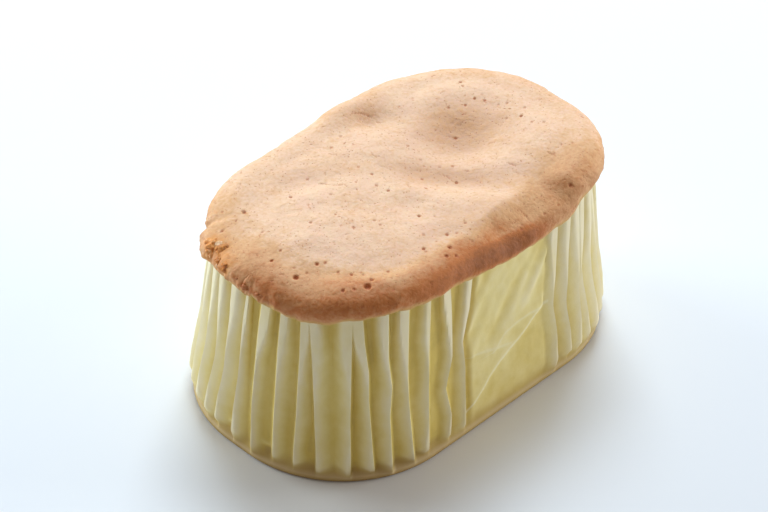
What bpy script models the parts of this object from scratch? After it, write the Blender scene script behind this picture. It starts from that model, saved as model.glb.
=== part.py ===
"""An oval castella sponge cake baked in a pleated paper case. Metres, +Z up, long axis along X.

The cake stands on the XY plane with the middle of its base at the origin. The case is one thin folded wall with a flat
floor. The sponge fills it and rises over its rim as a browned, dimpled crust that overhangs the paper a little.
"""

import math
import random

import bmesh
import bpy
from mathutils import Vector, noise

# Driving dimensions of the whole. The way is a distance round the base oval: it starts at the middle of the -X end and
# goes towards -Y.
BASE_LENGTH = 0.0940
BASE_WIDTH = 0.0600
CORNER_RADIUS = 0.0270
RADIUS_PER_INSET = 0.35
RIM_HEIGHT = 0.0395
CRUST_HEIGHT = 0.0448
SWAY = (0.0004, -0.0004)

# The paper case
PAPER = 0.00040
PAPER_GAP = 0.00030
PLEAT_PITCH = 0.0047
PLEAT_DEPTH = 0.00125
PLEAT_START = 0.0014
PLEAT_FULL = 0.0044
PLAIN_STEPS = 12
CREASE_RISE = 0.00060

# The crust
DOME_RISE = 0.0006
SEED = 41

# How far the crests of the pleats lie inside the base oval at each height. Negative is outside.
LEAN = (
    (0.0000, 0.00035),
    (0.0005, 0.00000),
    (0.0010, 0.00000),
    (0.0016, 0.00030),
    (0.0044, -0.00065),
    (0.0100, -0.00005),
    (0.0180, 0.00115),
    (0.0260, 0.00185),
    (0.0340, 0.00255),
    (0.0400, 0.00320),
)

# Heights of the case's rows of points on its outer face, and of the rows its inner face shares with the sponge
OUTER_HEIGHTS = (0.0, 0.0005, 0.0010, 0.0016, 0.0044, 0.0100, 0.0175, 0.0250, 0.0320)
INNER_HEIGHTS = (0.0020, 0.0050, 0.0110, 0.0200, 0.0300)
CREASE_ROWS = (5, 6)

# Crests of the pleats, as ways at half height and at the rim. The other pleats are spaced by rule.
NEAR_CRESTS = (
    (-0.0138, -0.0142), (-0.0099, -0.0098), (-0.0042, -0.0054), (0.0003, 0.0002), (0.0055, 0.0059),
    (0.0110, 0.0108), (0.0151, 0.0149), (0.0190, 0.0185), (0.0244, 0.0232), (0.0278, 0.0270),
    (0.0323, 0.0315), (0.0368, 0.0369), (0.0416, 0.0426), (0.0476, 0.0489), (0.0537, 0.0548),
)
FAR_CRESTS = ((0.0822, 0.0846), (0.0860, 0.0883), (0.0897, 0.0915), (0.0935, 0.0949), (0.0978, 0.0985))

# The one diagonal crease of each plain side: way from the side's middle, and height
CREASE = ((-0.0140, 0.0012), (-0.0078, 0.0034), (-0.0019, 0.0082), (0.0046, 0.0145), (0.0113, 0.0176), (0.0167, 0.0200))

# How much higher than the rim the crust's lower edge runs, by way
RIM_LIFT = (
    (-0.0400, 0.0000), (-0.0170, -0.0009), (-0.0060, 0.0002), (0.0060, 0.0001), (0.0150, -0.0006), (0.0250, 0.0007),
    (0.0370, 0.0016), (0.0480, 0.0009), (0.0600, -0.0004), (0.0710, -0.0015), (0.0850, -0.0021), (0.0930, 0.0006),
    (0.1030, 0.0015), (0.1250, 0.0003), (0.1680, 0.0002), (0.1880, 0.0015), (0.2060, 0.0000), (0.2216, 0.0000),
)

# How much further than usual the crust swells over the paper, by way
LIP_SWELL = (
    (-0.0400, 0.0), (-0.0290, -0.0004), (-0.0160, 0.0006), (0.0000, 0.0), (0.0780, 0.0), (0.0930, 0.0013),
    (0.1060, 0.0013), (0.1250, 0.0), (0.2216, 0.0),
)

# The crust's rounded edge as (inset from the base oval, height above the rim), from under the lip to the top
LIP_PROFILE = (
    (0.00480, -0.00015),
    (0.00290, 0.00000),
    (0.00245, 0.00055),
    (0.00230, 0.00150),
    (0.00250, 0.00260),
    (0.00340, 0.00395),
    (0.00520, 0.00480),
)

# Hollows and swellings of the top: x, y, half length, half width, turn in degrees, rise. Negative is a hollow.
TOP_FORMS = (
    (0.0225, 0.0070, 0.0085, 0.0055, 12, -0.0021),
    (0.0109, 0.0175, 0.0060, 0.0030, -25, -0.0013),
    (0.0095, -0.0030, 0.0110, 0.0034, -32, -0.0012),
    (-0.0069, -0.0073, 0.0050, 0.0036, 0, -0.0009),
    (-0.0131, 0.0084, 0.0085, 0.0024, -18, -0.0007),
    (0.0227, -0.0190, 0.0085, 0.0045, -10, -0.0010),
    (0.0060, -0.0170, 0.0090, 0.0035, 8, 0.0009),
    (0.0350, -0.0120, 0.0110, 0.0110, 0, 0.0012),
    (0.0140, 0.0020, 0.0110, 0.0028, -20, 0.0008),
    (-0.0280, -0.0020, 0.0120, 0.0120, 0, 0.0004),
)

# The widest open bubbles of the crust: x, y and width
BIG_PORES = (
    (-0.0303, -0.0194, 0.0022),
    (-0.0285, -0.0190, 0.0010),
    (-0.0378, -0.0078, 0.0020),
    (-0.0327, -0.0076, 0.0013),
    (-0.0102, -0.0226, 0.0020),
    (-0.0125, -0.0242, 0.0013),
    (-0.0140, -0.0193, 0.0014),
    (-0.0071, -0.0111, 0.0016),
    (-0.0046, 0.0046, 0.0012),
    (-0.0310, 0.0143, 0.0013),
    (0.0074, -0.0078, 0.0014),
    (0.0205, -0.0242, 0.0016),
)

# Lumps of the torn edge at the end of the crust: way, height and width
TORN_LUMPS = (
    (-0.0160, 0.0408, 0.0046),
    (-0.0128, 0.0398, 0.0034),
    (-0.0100, 0.0405, 0.0026),
    (-0.0080, 0.0397, 0.0022),
)

MATERIALS = {
    "sponge": ((0.80, 0.50, 0.29, 1.0), 0.75),
    "paper_case": ((0.74, 0.71, 0.46, 1.0), 0.50),
}


def clear_scene():
    """Removes every object of the open scene."""
    for obj in list(bpy.data.objects):
        bpy.data.objects.remove(obj, do_unlink=True)


def smooth(low, high, value):
    """0 below low, 1 above high, and an S curve between."""
    share = min(max((value - low) / (high - low), 0.0), 1.0)
    return share * share * (3 - 2 * share)


def read_profile(profile, height):
    """The value of a (height, value) profile at a height, by straight lines."""
    if height <= profile[0][0]:
        return profile[0][1]
    for (low, first), (high, second) in zip(profile, profile[1:]):
        if height <= high:
            return first + (second - first) * (height - low) / (high - low)
    return profile[-1][1]


def read_smooth(profile, way):
    """The value of a (way, value) profile at a way, by soft steps from one entry to the next."""
    start = profile[0][0]
    way = (way - start) % PERIMETER + start
    for (low, first), (high, second) in zip(profile, profile[1:]):
        if way <= high:
            return first + (second - first) * smooth(low, high, way)
    return profile[-1][1]


# The plan is a rounded rectangle, a rounder one the further in it lies. A quarter of it runs from an end's middle to a
# side's middle in three pieces: half the end, a round corner and half the side.


def quarter_pieces(inset):
    """Half end, corner arc, half side and corner radius of the oval this far inside the base oval."""
    half_width = BASE_WIDTH / 2 - inset
    radius = min(CORNER_RADIUS - RADIUS_PER_INSET * inset, half_width)
    return half_width - radius, math.pi / 2 * radius, BASE_LENGTH / 2 - inset - radius, radius


HALF_END, CORNER_ARC, HALF_SIDE, _ = quarter_pieces(0.0)
QUARTER = HALF_END + CORNER_ARC + HALF_SIDE
PERIMETER = 4 * QUARTER


def quarter_point(way, inset):
    """The plan point at a way of the quarter at +X, +Y."""
    end, _, side, radius = quarter_pieces(inset)
    if way < HALF_END:
        return Vector((side + radius, end * way / HALF_END))
    if way < HALF_END + CORNER_ARC:
        angle = math.pi / 2 * (way - HALF_END) / CORNER_ARC
        return Vector((side + radius * math.cos(angle), end + radius * math.sin(angle)))
    return Vector((side * (QUARTER - way) / HALF_SIDE, end + radius))


def plan_point(way, inset=0.0):
    """The plan point at a way, this far inside the base oval."""
    way %= PERIMETER
    quarter = int(way // QUARTER)
    within = way - quarter * QUARTER
    point = quarter_point(within if quarter % 2 == 0 else QUARTER - within, inset)
    side_x = -1 if quarter in (0, 3) else 1
    side_y = -1 if quarter in (0, 1) else 1
    return Vector((point.x * side_x, point.y * side_y))


def inset_point(way, inset, height):
    """A point this far inside the base oval, at this height. The cake sways a little as it rises."""
    place = plan_point(way, inset)
    lean = height / RIM_HEIGHT
    return Vector((place.x + SWAY[0] * lean, place.y + SWAY[1] * lean, height))


# The pleats: every crest has its own place and depth, and leans to its own place at the rim


def pleat_groups():
    """The pleats in three unbroken runs, each a list of (way at half height, way at the rim)."""
    rng = random.Random(SEED)
    plain = FAR_CRESTS[0][0] - NEAR_CRESTS[-1][0]
    far_end = 3 * QUARTER - plain / 2
    near_start = NEAR_CRESTS[0][0]
    back_end = 3 * QUARTER + plain / 2
    runs = []
    for first, last in ((FAR_CRESTS[-1][0], far_end), (back_end, PERIMETER + near_start)):
        count = round((last - first) / PLEAT_PITCH)
        run = []
        for index in range(count + 1):
            way = first + (last - first) * index / count + rng.uniform(-0.0005, 0.0005)
            run.append((way, way + rng.uniform(-0.0010, 0.0010)))
        runs.append(run)
    far_run, back_run = runs
    front = [(a + PERIMETER, b + PERIMETER) for a, b in NEAR_CRESTS]
    return [list(FAR_CRESTS) + far_run[1:], back_run[:-1] + front]


def fold_strength(height):
    """The pleats grow out of the plain band above the floor."""
    return smooth(PLEAT_START, PLEAT_FULL, height)


def case_columns():
    """The case's columns, each as (way at half height, way at the rim, share of the pleat depth).

    A pleat has five of them. A column of a plain side has None for its share.
    """
    rng = random.Random(SEED + 1)
    columns = []
    groups = pleat_groups()
    for group, following in zip(groups, (groups[1], groups[0])):
        half = PLEAT_PITCH / 2
        before = (group[0][0] - 2 * half, group[0][1] - 2 * half)
        after = (group[-1][0] + 2 * half, group[-1][1] + 2 * half)
        crests = [before, *group, after]
        for previous, crest, coming in zip(crests, crests[1:], crests[2:]):
            depth = rng.uniform(0.80, 1.10)
            for place, rise in ((-0.50, 0.0), (-0.25, 0.55), (-0.09, 1.0), (0.09, 1.0), (0.25, 0.55)):
                other = previous if place < 0 else coming
                ways = [c + (o - c) * abs(place) for c, o in zip(crest, other)]
                columns.append((ways[0], ways[1], rise * depth))
        columns.append((group[-1][0] + half, group[-1][1] + half, 0.0))
        start = group[-1][0] + half
        stop = following[0][0] - half + (PERIMETER if following[0][0] < start else 0.0)
        for index in range(PLAIN_STEPS):
            way = start + (stop - start) * (index + 0.7) / (PLAIN_STEPS + 0.4)
            columns.append((way, way, None))
    return columns


def side_way(way):
    """The way from the middle of the long side it is on."""
    return way % (2 * QUARTER) - QUARTER


def plain_side_rise(way, height):
    """The share of a pleat's depth by which the plain sides stand out: a slack sheet above the diagonal crease."""
    slack = smooth(-0.0006, 0.0016, height - read_profile(CREASE, side_way(way)))
    ripple = noise.noise(Vector((side_way(way) * 160, height * 90, 7.7 if way % PERIMETER < 2 * QUARTER else 1.3)))
    return 0.35 + (CREASE_RISE * slack + 0.00022 * ripple) / PLEAT_DEPTH


def column_way(column, height):
    """Where a column runs at a height, as a way round."""
    return column[0] + (column[1] - column[0]) * smooth(0.018, 0.036, height)


def column_height(column, row):
    """The height of an outer row at a column: two rows of a plain side follow its crease."""
    height = OUTER_HEIGHTS[row]
    if column[2] is None and row in CREASE_ROWS:
        foot = read_profile(CREASE, side_way(column[0]))
        return foot - 0.0006 if row == CREASE_ROWS[0] else foot + 0.0016
    return height


def wall_inset(column, height, into=0.0):
    """How far the case's outer face lies inside the base oval at a column. into goes on through the paper."""
    rise = plain_side_rise(column[0], height) if column[2] is None else column[2]
    return read_profile(LEAN, height) + PLEAT_DEPTH * fold_strength(height) * (1 - rise) + into


def column_point(column, height, into=0.0):
    """A point of the case at a column and height."""
    return inset_point(column_way(column, height), wall_inset(column, height, into), height)


def paper_top(column):
    """The height of the paper's cut edge at a column: just under the crust, and uneven."""
    ragged = 0.0003 * abs(noise.noise(Vector((column[1] * 400, 0.0, 5.5))))
    return RIM_HEIGHT + read_smooth(RIM_LIFT, column[1]) - 0.00060 - ragged


def skin(name, rings):
    """A closed mesh through rings of points that run alike on both sides of the X axis.

    The first and the last ring are closed by strips from side to side.
    """
    mesh = bpy.data.meshes.new(name)
    shape = bmesh.new()
    loops = [[shape.verts.new(point) for point in ring] for ring in rings]
    count = len(loops[0])
    for lower, upper in zip(loops, loops[1:]):
        for index in range(count):
            after = (index + 1) % count
            shape.faces.new((lower[index], lower[after], upper[after], upper[index]))
    for index in range(count // 2 - 1):
        left, right = count - 1 - index, count - 2 - index
        shape.faces.new((loops[-1][index], loops[-1][index + 1], loops[-1][right], loops[-1][left]))
        shape.faces.new((loops[0][left], loops[0][right], loops[0][index + 1], loops[0][index]))
    bmesh.ops.recalc_face_normals(shape, faces=shape.faces)
    bmesh.ops.triangulate(shape, faces=shape.faces)
    shape.to_mesh(mesh)
    shape.free()
    obj = bpy.data.objects.new(name, mesh)
    bpy.context.scene.collection.objects.link(obj)
    return obj


def paper_case():
    """The folded case: floor, plain band, pleated ends, creased sides and a thin cut edge."""
    columns = case_columns()
    rows = range(len(OUTER_HEIGHTS))
    outer = [[column_point(c, column_height(c, row)) for c in columns] for row in rows]
    edge = [column_point(c, paper_top(c)) for c in columns]
    edge_inside = [column_point(c, paper_top(c), PAPER) for c in columns]
    inner = [[column_point(c, height, PAPER) for c in columns] for height in reversed(INNER_HEIGHTS)]
    floor = [inset_point(c[0], 0.0018, PAPER) for c in columns]
    return skin("paper_case", [*outer, edge, edge_inside, *inner, floor])


# The sponge


def sponge_inset(height):
    """How far the sponge's side lies inside the base oval: just behind the folds' valleys."""
    return read_profile(LEAN, height) + PLEAT_DEPTH + PAPER + PAPER_GAP


def top_rise(x, y):
    """The relief of the crust above its plain height."""
    rise = 0.0
    for cx, cy, half_length, half_width, turn, height in TOP_FORMS:
        angle = math.radians(turn)
        along = (x - cx) * math.cos(angle) + (y - cy) * math.sin(angle)
        across = (y - cy) * math.cos(angle) - (x - cx) * math.sin(angle)
        rise += height * math.exp(-((along / half_length) ** 2) - (across / half_width) ** 2)
    broad = noise.noise(Vector((x * 85, y * 85, 0.4)))
    fine = noise.noise(Vector((x * 210, y * 210, 2.4)))
    return rise + 0.00045 * broad + 0.00020 * fine


def lip_point(way, inset, above):
    """A point of the crust's rounded edge. Its swelling fades out under the lip."""
    height = RIM_HEIGHT + above + read_smooth(RIM_LIFT, way)
    point = plan_point(way)
    broad = noise.noise(Vector((point.x * 110, point.y * 110, height * 110)))
    fine = noise.noise(Vector((point.x * 300, point.y * 300, height * 300)))
    swell = read_smooth(LIP_SWELL, way) + 0.00045 * broad + 0.00025 * fine
    return inset_point(way, inset - swell * smooth(0.0, 0.0010, above), height)


def crust_point(way, share):
    """A point of the top, this share of the way from the rounded edge to the middle line."""
    edge = lip_point(way, *LIP_PROFILE[-1])
    middle_x = min(max(plan_point(way).x, -HALF_SIDE), HALF_SIDE)
    x = edge.x + (middle_x - edge.x) * share
    y = edge.y * (1 - share)
    top = CRUST_HEIGHT + DOME_RISE * smooth(0.0, 0.8, share) + top_rise(x, y) * smooth(0.0, 0.25, share)
    return Vector((x, y, edge.z + (top - edge.z) * smooth(-0.03, 0.24, share)))


TOP_STEPS = (0.06, 0.14, 0.24, 0.37, 0.53, 0.71, 0.90)


def sponge_body():
    """The sponge as one closed mesh: floor, side, lip, and a top that closes on its middle line."""
    column_count = 104
    ways = [(index + 0.5) * PERIMETER / column_count for index in range(column_count)]
    bottom = PAPER + PAPER_GAP
    rings = [[inset_point(w, sponge_inset(0.002) + 0.0010, bottom) for w in ways]]
    rings += [[inset_point(w, sponge_inset(h), h) for w in ways] for h in INNER_HEIGHTS]
    rings.append([lip_point(w, sponge_inset(RIM_HEIGHT), -0.0009) for w in ways])
    rings += [[lip_point(w, inset, above) for w in ways] for inset, above in LIP_PROFILE]
    rings += [[crust_point(w, share) for w in ways] for share in TOP_STEPS]
    return skin("sponge", rings)


def add_ball(collection, name, location, radius, flatten, divisions):
    """A small faceted ball, squashed by flatten along Z, in a helper collection."""
    mesh = bpy.data.meshes.new(name)
    shape = bmesh.new()
    bmesh.ops.create_icosphere(shape, subdivisions=divisions, radius=radius)
    bmesh.ops.scale(shape, vec=(1.0, 1.0, flatten), verts=shape.verts)
    bmesh.ops.translate(shape, vec=location, verts=shape.verts)
    shape.to_mesh(mesh)
    shape.free()
    obj = bpy.data.objects.new(name, mesh)
    collection.objects.link(obj)
    return obj


def combine(target, collection, operation):
    """Applies one Boolean of a helper collection to the target, then removes the helpers."""
    modifier = target.modifiers.new(operation.lower(), "BOOLEAN")
    modifier.operation = operation
    modifier.operand_type = "COLLECTION"
    modifier.collection = collection
    modifier.solver = "EXACT"
    graph = bpy.context.evaluated_depsgraph_get()
    made = bpy.data.meshes.new_from_object(target.evaluated_get(graph))
    target.modifiers.clear()
    target.data = made
    for obj in list(collection.objects):
        bpy.data.objects.remove(obj, do_unlink=True)
    bpy.data.collections.remove(collection)


def helper_collection(name):
    collection = bpy.data.collections.new(name)
    bpy.context.scene.collection.children.link(collection)
    return collection


def tear_edge(sponge):
    """Joins the lumps of the torn edge to the crust."""
    lumps = helper_collection("torn_lumps")
    for index, (way, height, width) in enumerate(TORN_LUMPS):
        place = inset_point(way, LIP_PROFILE[2][0] + width * 0.10, height)
        add_ball(lumps, f"lump_{index}", place, width / 2, 0.80, 2)
    combine(sponge, lumps, "UNION")


def open_pores(sponge):
    """Cuts the widest bubbles into the crust."""
    pores = helper_collection("pores")
    for index, (x, y, width) in enumerate(BIG_PORES):
        hit, surface, _, _ = sponge.ray_cast(Vector((x, y, 0.06)), Vector((0, 0, -1)))
        if hit:
            add_ball(pores, f"pore_{index}", surface, width / 2, 0.9, 1)
    combine(sponge, pores, "DIFFERENCE")


def sponge_cake():
    """The sponge with its torn edge and its open bubbles."""
    sponge = sponge_body()
    tear_edge(sponge)
    open_pores(sponge)
    return sponge


def give_material(obj):
    """The plain finish of a node."""
    colour, roughness = MATERIALS[obj.name]
    material = bpy.data.materials.new(obj.name)
    material.use_nodes = True
    shader = material.node_tree.nodes["Principled BSDF"]
    shader.inputs["Base Color"].default_value = colour
    shader.inputs["Roughness"].default_value = roughness
    shader.inputs["Metallic"].default_value = 0.0
    obj.data.materials.clear()
    obj.data.materials.append(material)


def main():
    clear_scene()
    for obj in (paper_case(), sponge_cake()):
        give_material(obj)


main()
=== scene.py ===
# %% [markdown]
# # A castella in its pleated paper case
#
# The object is an oval sponge cake that was baked in a folded paper case and still stands in it. The
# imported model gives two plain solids, the sponge and the case. This lesson makes a finely detailed piece
# for each of them, in the same place and of the same size, and finishes both with procedural materials.
# It ends with a pale floor, soft window light and a camera.

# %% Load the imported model
import math
import random

import bpy
import numpy as np
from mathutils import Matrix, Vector, kdtree, noise


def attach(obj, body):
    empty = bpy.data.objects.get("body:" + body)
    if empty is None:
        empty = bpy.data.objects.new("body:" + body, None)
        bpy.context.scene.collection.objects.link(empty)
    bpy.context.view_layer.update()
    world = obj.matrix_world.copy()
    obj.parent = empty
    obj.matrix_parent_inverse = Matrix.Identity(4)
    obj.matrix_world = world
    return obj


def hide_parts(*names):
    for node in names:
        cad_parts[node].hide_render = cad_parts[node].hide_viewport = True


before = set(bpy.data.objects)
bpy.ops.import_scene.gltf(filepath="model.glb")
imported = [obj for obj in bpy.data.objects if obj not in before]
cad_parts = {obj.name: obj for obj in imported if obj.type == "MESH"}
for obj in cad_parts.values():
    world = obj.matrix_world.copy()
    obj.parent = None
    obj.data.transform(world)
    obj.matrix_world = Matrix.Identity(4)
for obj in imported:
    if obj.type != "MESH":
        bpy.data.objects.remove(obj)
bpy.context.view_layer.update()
print("nodes:", sorted(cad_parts))

# %% [markdown]
# ## Sizes
#
# The plan of the cake is an oval: a rectangle with very round corners, which gets rounder the further in
# it lies. A place on it is given as a way, the distance walked round the base from the middle of the -X
# end towards -Y, and an inset, the distance inside the base oval. Both pieces are shaped with these two
# numbers and a height, so that they always fit each other. All lengths are in metres.

# %% The oval and the main heights
BASE_LENGTH = 0.0940
BASE_WIDTH = 0.0600
CORNER_RADIUS = 0.0270
RADIUS_PER_INSET = 0.35
RIM_HEIGHT = 0.0395
CRUST_HEIGHT = 0.0448
DOME_RISE = 0.0006
SWAY = (0.0004, -0.0004)
SEED = 41
TINY = 1e-7


def quarter_sizes(inset):
    """Half end, half side and corner radius of the oval this far inside the base oval."""
    half_width = BASE_WIDTH / 2 - inset
    radius = np.minimum(CORNER_RADIUS - RADIUS_PER_INSET * inset, half_width)
    return half_width - radius, BASE_LENGTH / 2 - inset - radius, radius


HALF_END, HALF_SIDE, _ = (float(size) for size in quarter_sizes(0.0))
CORNER_ARC = math.pi / 2 * CORNER_RADIUS
QUARTER = HALF_END + CORNER_ARC + HALF_SIDE
PERIMETER = 4 * QUARTER
print(f"once round the base is {PERIMETER * 1000:.1f} mm")

# %% [markdown]
# ## Helpers for places
#
# Blender can hand all points of a mesh to Python as one long array and take them back in the same way.
# Moving points with array arithmetic is as quick for a hundred thousand points as for a hundred, so the
# helpers below take arrays.


# %% From ways and insets to points
def s_curve(low, high, value):
    """0 below low, 1 above high, and an S curve between."""
    share = np.clip((value - low) / (high - low), 0.0, 1.0)
    return share * share * (3 - 2 * share)


def straight(profile, value):
    """Reads a profile of (place, value) pairs by straight lines."""
    return np.interp(value, [pair[0] for pair in profile], [pair[1] for pair in profile])


def soft_steps(profile, way):
    """Reads a profile that runs once round the oval and closes on its first pair, with soft steps."""
    places = np.array([pair[0] for pair in profile] + [profile[0][0] + PERIMETER])
    values = np.array([pair[1] for pair in profile] + [profile[0][1]])
    way = (way - places[0]) % PERIMETER + places[0]
    index = np.clip(np.searchsorted(places, way, side="right") - 1, 0, len(profile) - 1)
    share = s_curve(places[index], places[index + 1], way)
    return values[index] + (values[index + 1] - values[index]) * share


def quarter_and_place(way, quarter_length):
    """Which quarter of a ring a way is in, and how far it is there from the middle of the nearer end."""
    quarter = np.minimum((way / quarter_length).astype(int), 3)
    within = way - quarter * quarter_length
    return quarter, np.where(quarter % 2 == 0, within, quarter_length - within)


def in_quarter(quarter, x, y):
    """Mirrors points with positive x and y into their quarters. Quarter 0 has -x and -y."""
    return np.where((quarter == 0) | (quarter == 3), -x, x), np.where(quarter < 2, -y, y)


def plan_points(way, inset):
    """x and y of plan points at these ways, this far inside the base oval."""
    quarter, within = quarter_and_place(np.mod(way, PERIMETER), QUARTER)
    end, side, radius = quarter_sizes(inset)
    angle = np.clip((within - HALF_END) / CORNER_ARC, 0.0, 1.0) * math.pi / 2
    past_corner = np.clip((within - HALF_END - CORNER_ARC) / HALF_SIDE, 0.0, 1.0)
    x = side * (1 - past_corner) + radius * np.cos(angle)
    y = end * np.clip(within / HALF_END, 0.0, 1.0) + radius * np.sin(angle)
    return in_quarter(quarter, x, y)


def swayed(x, y, z):
    """Points of the cake, which leans a little to one side as it rises."""
    lean = z / RIM_HEIGHT
    return np.column_stack((x + SWAY[0] * lean, y + SWAY[1] * lean, z))


def oval_points(way, inset, height):
    """Points at these ways, insets and heights."""
    return swayed(*plan_points(way, inset), height)


def rough(points, per_metre, seed):
    """Smooth random values from -1 to 1 at points, with this many bumps to the metre."""
    shift = Vector((seed, seed * 0.7, seed * 1.3))
    return np.array([noise.noise(Vector(point) * per_metre + shift) for point in points])


def rough_sum(points, *layers):
    """Adds up layers of roughness, each given by its height, its bumps to the metre and its seed."""
    return sum(height * rough(points, per_metre, seed) for height, per_metre, seed in layers)


print("a point on the near corner:", oval_points(np.array([0.024]), 0.0, np.array([0.0])).round(4))


# %% [markdown]
# ## Helpers for modelling
#
# Each piece starts as one of Blender's primitives. Its points are read, moved to their places and written
# back. An operator acts on whatever is selected, so everything is deselected before an object is added.


# %% Add, read and write a mesh
def select_only(*pieces):
    """Selects these objects and no others. The first one becomes the active one."""
    bpy.ops.object.select_all(action="DESELECT")
    for piece in reversed(pieces):
        piece.select_set(True)
        bpy.context.view_layer.objects.active = piece


def new_object(name, operator, **options):
    """Adds an object by one of Blender's operators and names it."""
    select_only()
    operator(**options)
    piece = bpy.context.object
    piece.name = piece.data.name = name
    return piece


def extrude_rings(count, step, close=False):
    """Extrudes the edge of the object just added, ring after ring. A face can close the last ring."""
    bpy.ops.object.mode_set(mode="EDIT")
    bpy.ops.mesh.select_mode(type="EDGE")
    bpy.ops.mesh.select_all(action="SELECT")
    bpy.ops.mesh.region_to_loop()
    for _ in range(count):
        bpy.ops.mesh.extrude_edges_move(TRANSFORM_OT_translate={"value": (0.0, 0.0, step)})
    if close:
        bpy.ops.mesh.edge_face_add()
    bpy.ops.object.mode_set(mode="OBJECT")


def read_points(piece, kind="co"):
    """The places of a piece's points, with a row for each. The kind "normal" gives where they face."""
    flat = np.empty(len(piece.data.vertices) * 3)
    piece.data.vertices.foreach_get(kind, flat)
    return flat.reshape(-1, 3)


def write_points(piece, points):
    """Moves a piece's points to new places."""
    piece.data.vertices.foreach_set("co", np.ascontiguousarray(points, dtype=np.float32).ravel())
    piece.data.update()


def write_values(piece, name, values):
    """Stores one number for each point of a piece, for its material to read."""
    layer = piece.data.attributes.new(name, "FLOAT", "POINT")
    layer.data.foreach_set("value", np.ascontiguousarray(values, dtype=np.float32))


def finish_mesh(piece, angle):
    """Turns the faces outwards and shades the piece smooth, apart from edges sharper than this angle."""
    select_only(piece)
    bpy.ops.object.mode_set(mode="EDIT")
    bpy.ops.mesh.select_all(action="SELECT")
    bpy.ops.mesh.normals_make_consistent(inside=False)
    bpy.ops.object.mode_set(mode="OBJECT")
    bpy.ops.object.shade_smooth_by_angle(angle=math.radians(angle))


def count_triangles(piece):
    """How many triangles a mesh has."""
    return sum(len(face.vertices) - 2 for face in piece.data.polygons)


# %% [markdown]
# ## Helpers for materials
#
# A material is a tree of nodes. One function adds a node, sets it up and links it, and the short ones
# below it each stand for one kind of node or for a chain of like nodes, so that a material can be read as
# a list of its layers.


# %% Nodes and layers
def add_node(tree, kind, inputs, output, **settings):
    """Adds a node and gives one of its outputs. Its inputs are numbers, colours or other nodes' outputs."""
    node = tree.nodes.new("ShaderNode" + kind)
    for name, value in settings.items():
        setattr(node, name, value)
    for name, value in inputs.items():
        if isinstance(value, bpy.types.NodeSocket):
            tree.links.new(value, node.inputs[name])
        else:
            node.inputs[name].default_value = value
    return node.outputs[output]


def new_finish(name, piece, values):
    """Gives a piece a new material, with its shader set to these values. Returns its tree and shader."""
    finish = bpy.data.materials.new(name)
    finish.use_nodes = True
    shader = finish.node_tree.nodes["Principled BSDF"]
    for title, value in values.items():
        shader.inputs[title].default_value = value
    piece.data.materials.append(finish)
    return finish.node_tree, shader


def stored(tree, name):
    """The number stored for each point under a name."""
    return add_node(tree, "Attribute", {}, "Fac", attribute_name=name)


def object_place(tree, scale, turn=0.0, kind="POINT"):
    """Object coordinates, scaled and turned about the upright axis."""
    where = add_node(tree, "TexCoord", {}, "Object")
    inputs = {"Vector": where, "Rotation": (0.0, 0.0, turn), "Scale": scale}
    return add_node(tree, "Mapping", inputs, "Vector", vector_type=kind)


def cloudy(tree, where, per_metre, detail, distortion=0.0):
    """Cloudy noise from 0 to 1, with this many clouds to the metre."""
    inputs = {"Vector": where, "Scale": per_metre, "Detail": detail, "Distortion": distortion}
    return add_node(tree, "TexNoise", inputs, "Fac")


def grain(tree, per_metre, detail=2.0, stretch=(1.0, 1.0, 1.0)):
    """Cloudy noise on Object coordinates."""
    return cloudy(tree, object_place(tree, stretch), per_metre, detail)


def between(tree, value, low, high, start=0.0, stop=1.0):
    """Stretches a value so that low gives start and high gives stop, and clips it there."""
    inputs = {"Value": value, "From Min": low, "From Max": high, "To Min": start, "To Max": stop}
    return add_node(tree, "MapRange", inputs, "Result")


def combined(tree, operation, first, second):
    """Adds, multiplies or otherwise combines two values. Either may be a plain number."""
    return add_node(tree, "Math", {0: first, 1: second}, "Value", operation=operation)


def mixed(tree, amount, first, second):
    """Mixes two colours by an amount. Either may be a tuple or a socket."""
    ends = [(*colour, 1.0) if isinstance(colour, tuple) else colour for colour in (first, second)]
    return add_node(tree, "Mix", {"Factor": amount, "A": ends[0], "B": ends[1]}, "Result", data_type="RGBA")


def varied(tree, value, *patterns):
    """Adds patterns to a value. Each comes with its low, high, start and stop."""
    for pattern, *span in patterns:
        value = combined(tree, "ADD", value, between(tree, pattern, *span))
    return value


def coloured(tree, value, colour, *steps):
    """Goes from a colour to others as a value rises. Each step has its low, its high and its colour."""
    for low, high, new_colour in steps:
        colour = mixed(tree, between(tree, value, low, high), colour, new_colour)
    return colour


def laid_over(tree, colour, *layers):
    """Lays colours over a colour. Each layer has its mask, how much it covers at most, and its colour."""
    for mask, cover, new_colour in layers:
        colour = mixed(tree, combined(tree, "MULTIPLY", mask, cover), colour, new_colour)
    return colour


def bumped(tree, *layers):
    """Lays bumps over each other. Each has its pattern, its strength and its height in metres."""
    below = {}
    for pattern, strength, height in layers:
        inputs = {"Height": pattern, "Strength": strength, "Distance": height}
        below = {"Normal": add_node(tree, "Bump", inputs | below, "Normal")}
    return below["Normal"]


print("material helpers ready")

# %% [markdown]
# ## Camera
#
# The camera stands to the front left, 60 cm from the cake, and looks down at it at 39.5 degrees with a
# long lens. Its place is worked out from those angles. It looks at a point just beside the middle of the
# cake, because the photograph has the cake a little to the right.

# %% Place the camera
CAMERA_AZIMUTH = math.radians(-46.53)
CAMERA_ELEVATION = math.radians(39.5)
CAMERA_ROLL = math.radians(1.14)
CAMERA_DISTANCE = 0.600
PIXELS_WIDE = 768
FOCAL_PIXELS = 2898.0
CAKE_MIDDLE = Vector((0.0, 0.0, 0.025))
LOOKS_LEFT = 0.0036
LOOKS_DOWN = 0.0012


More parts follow.
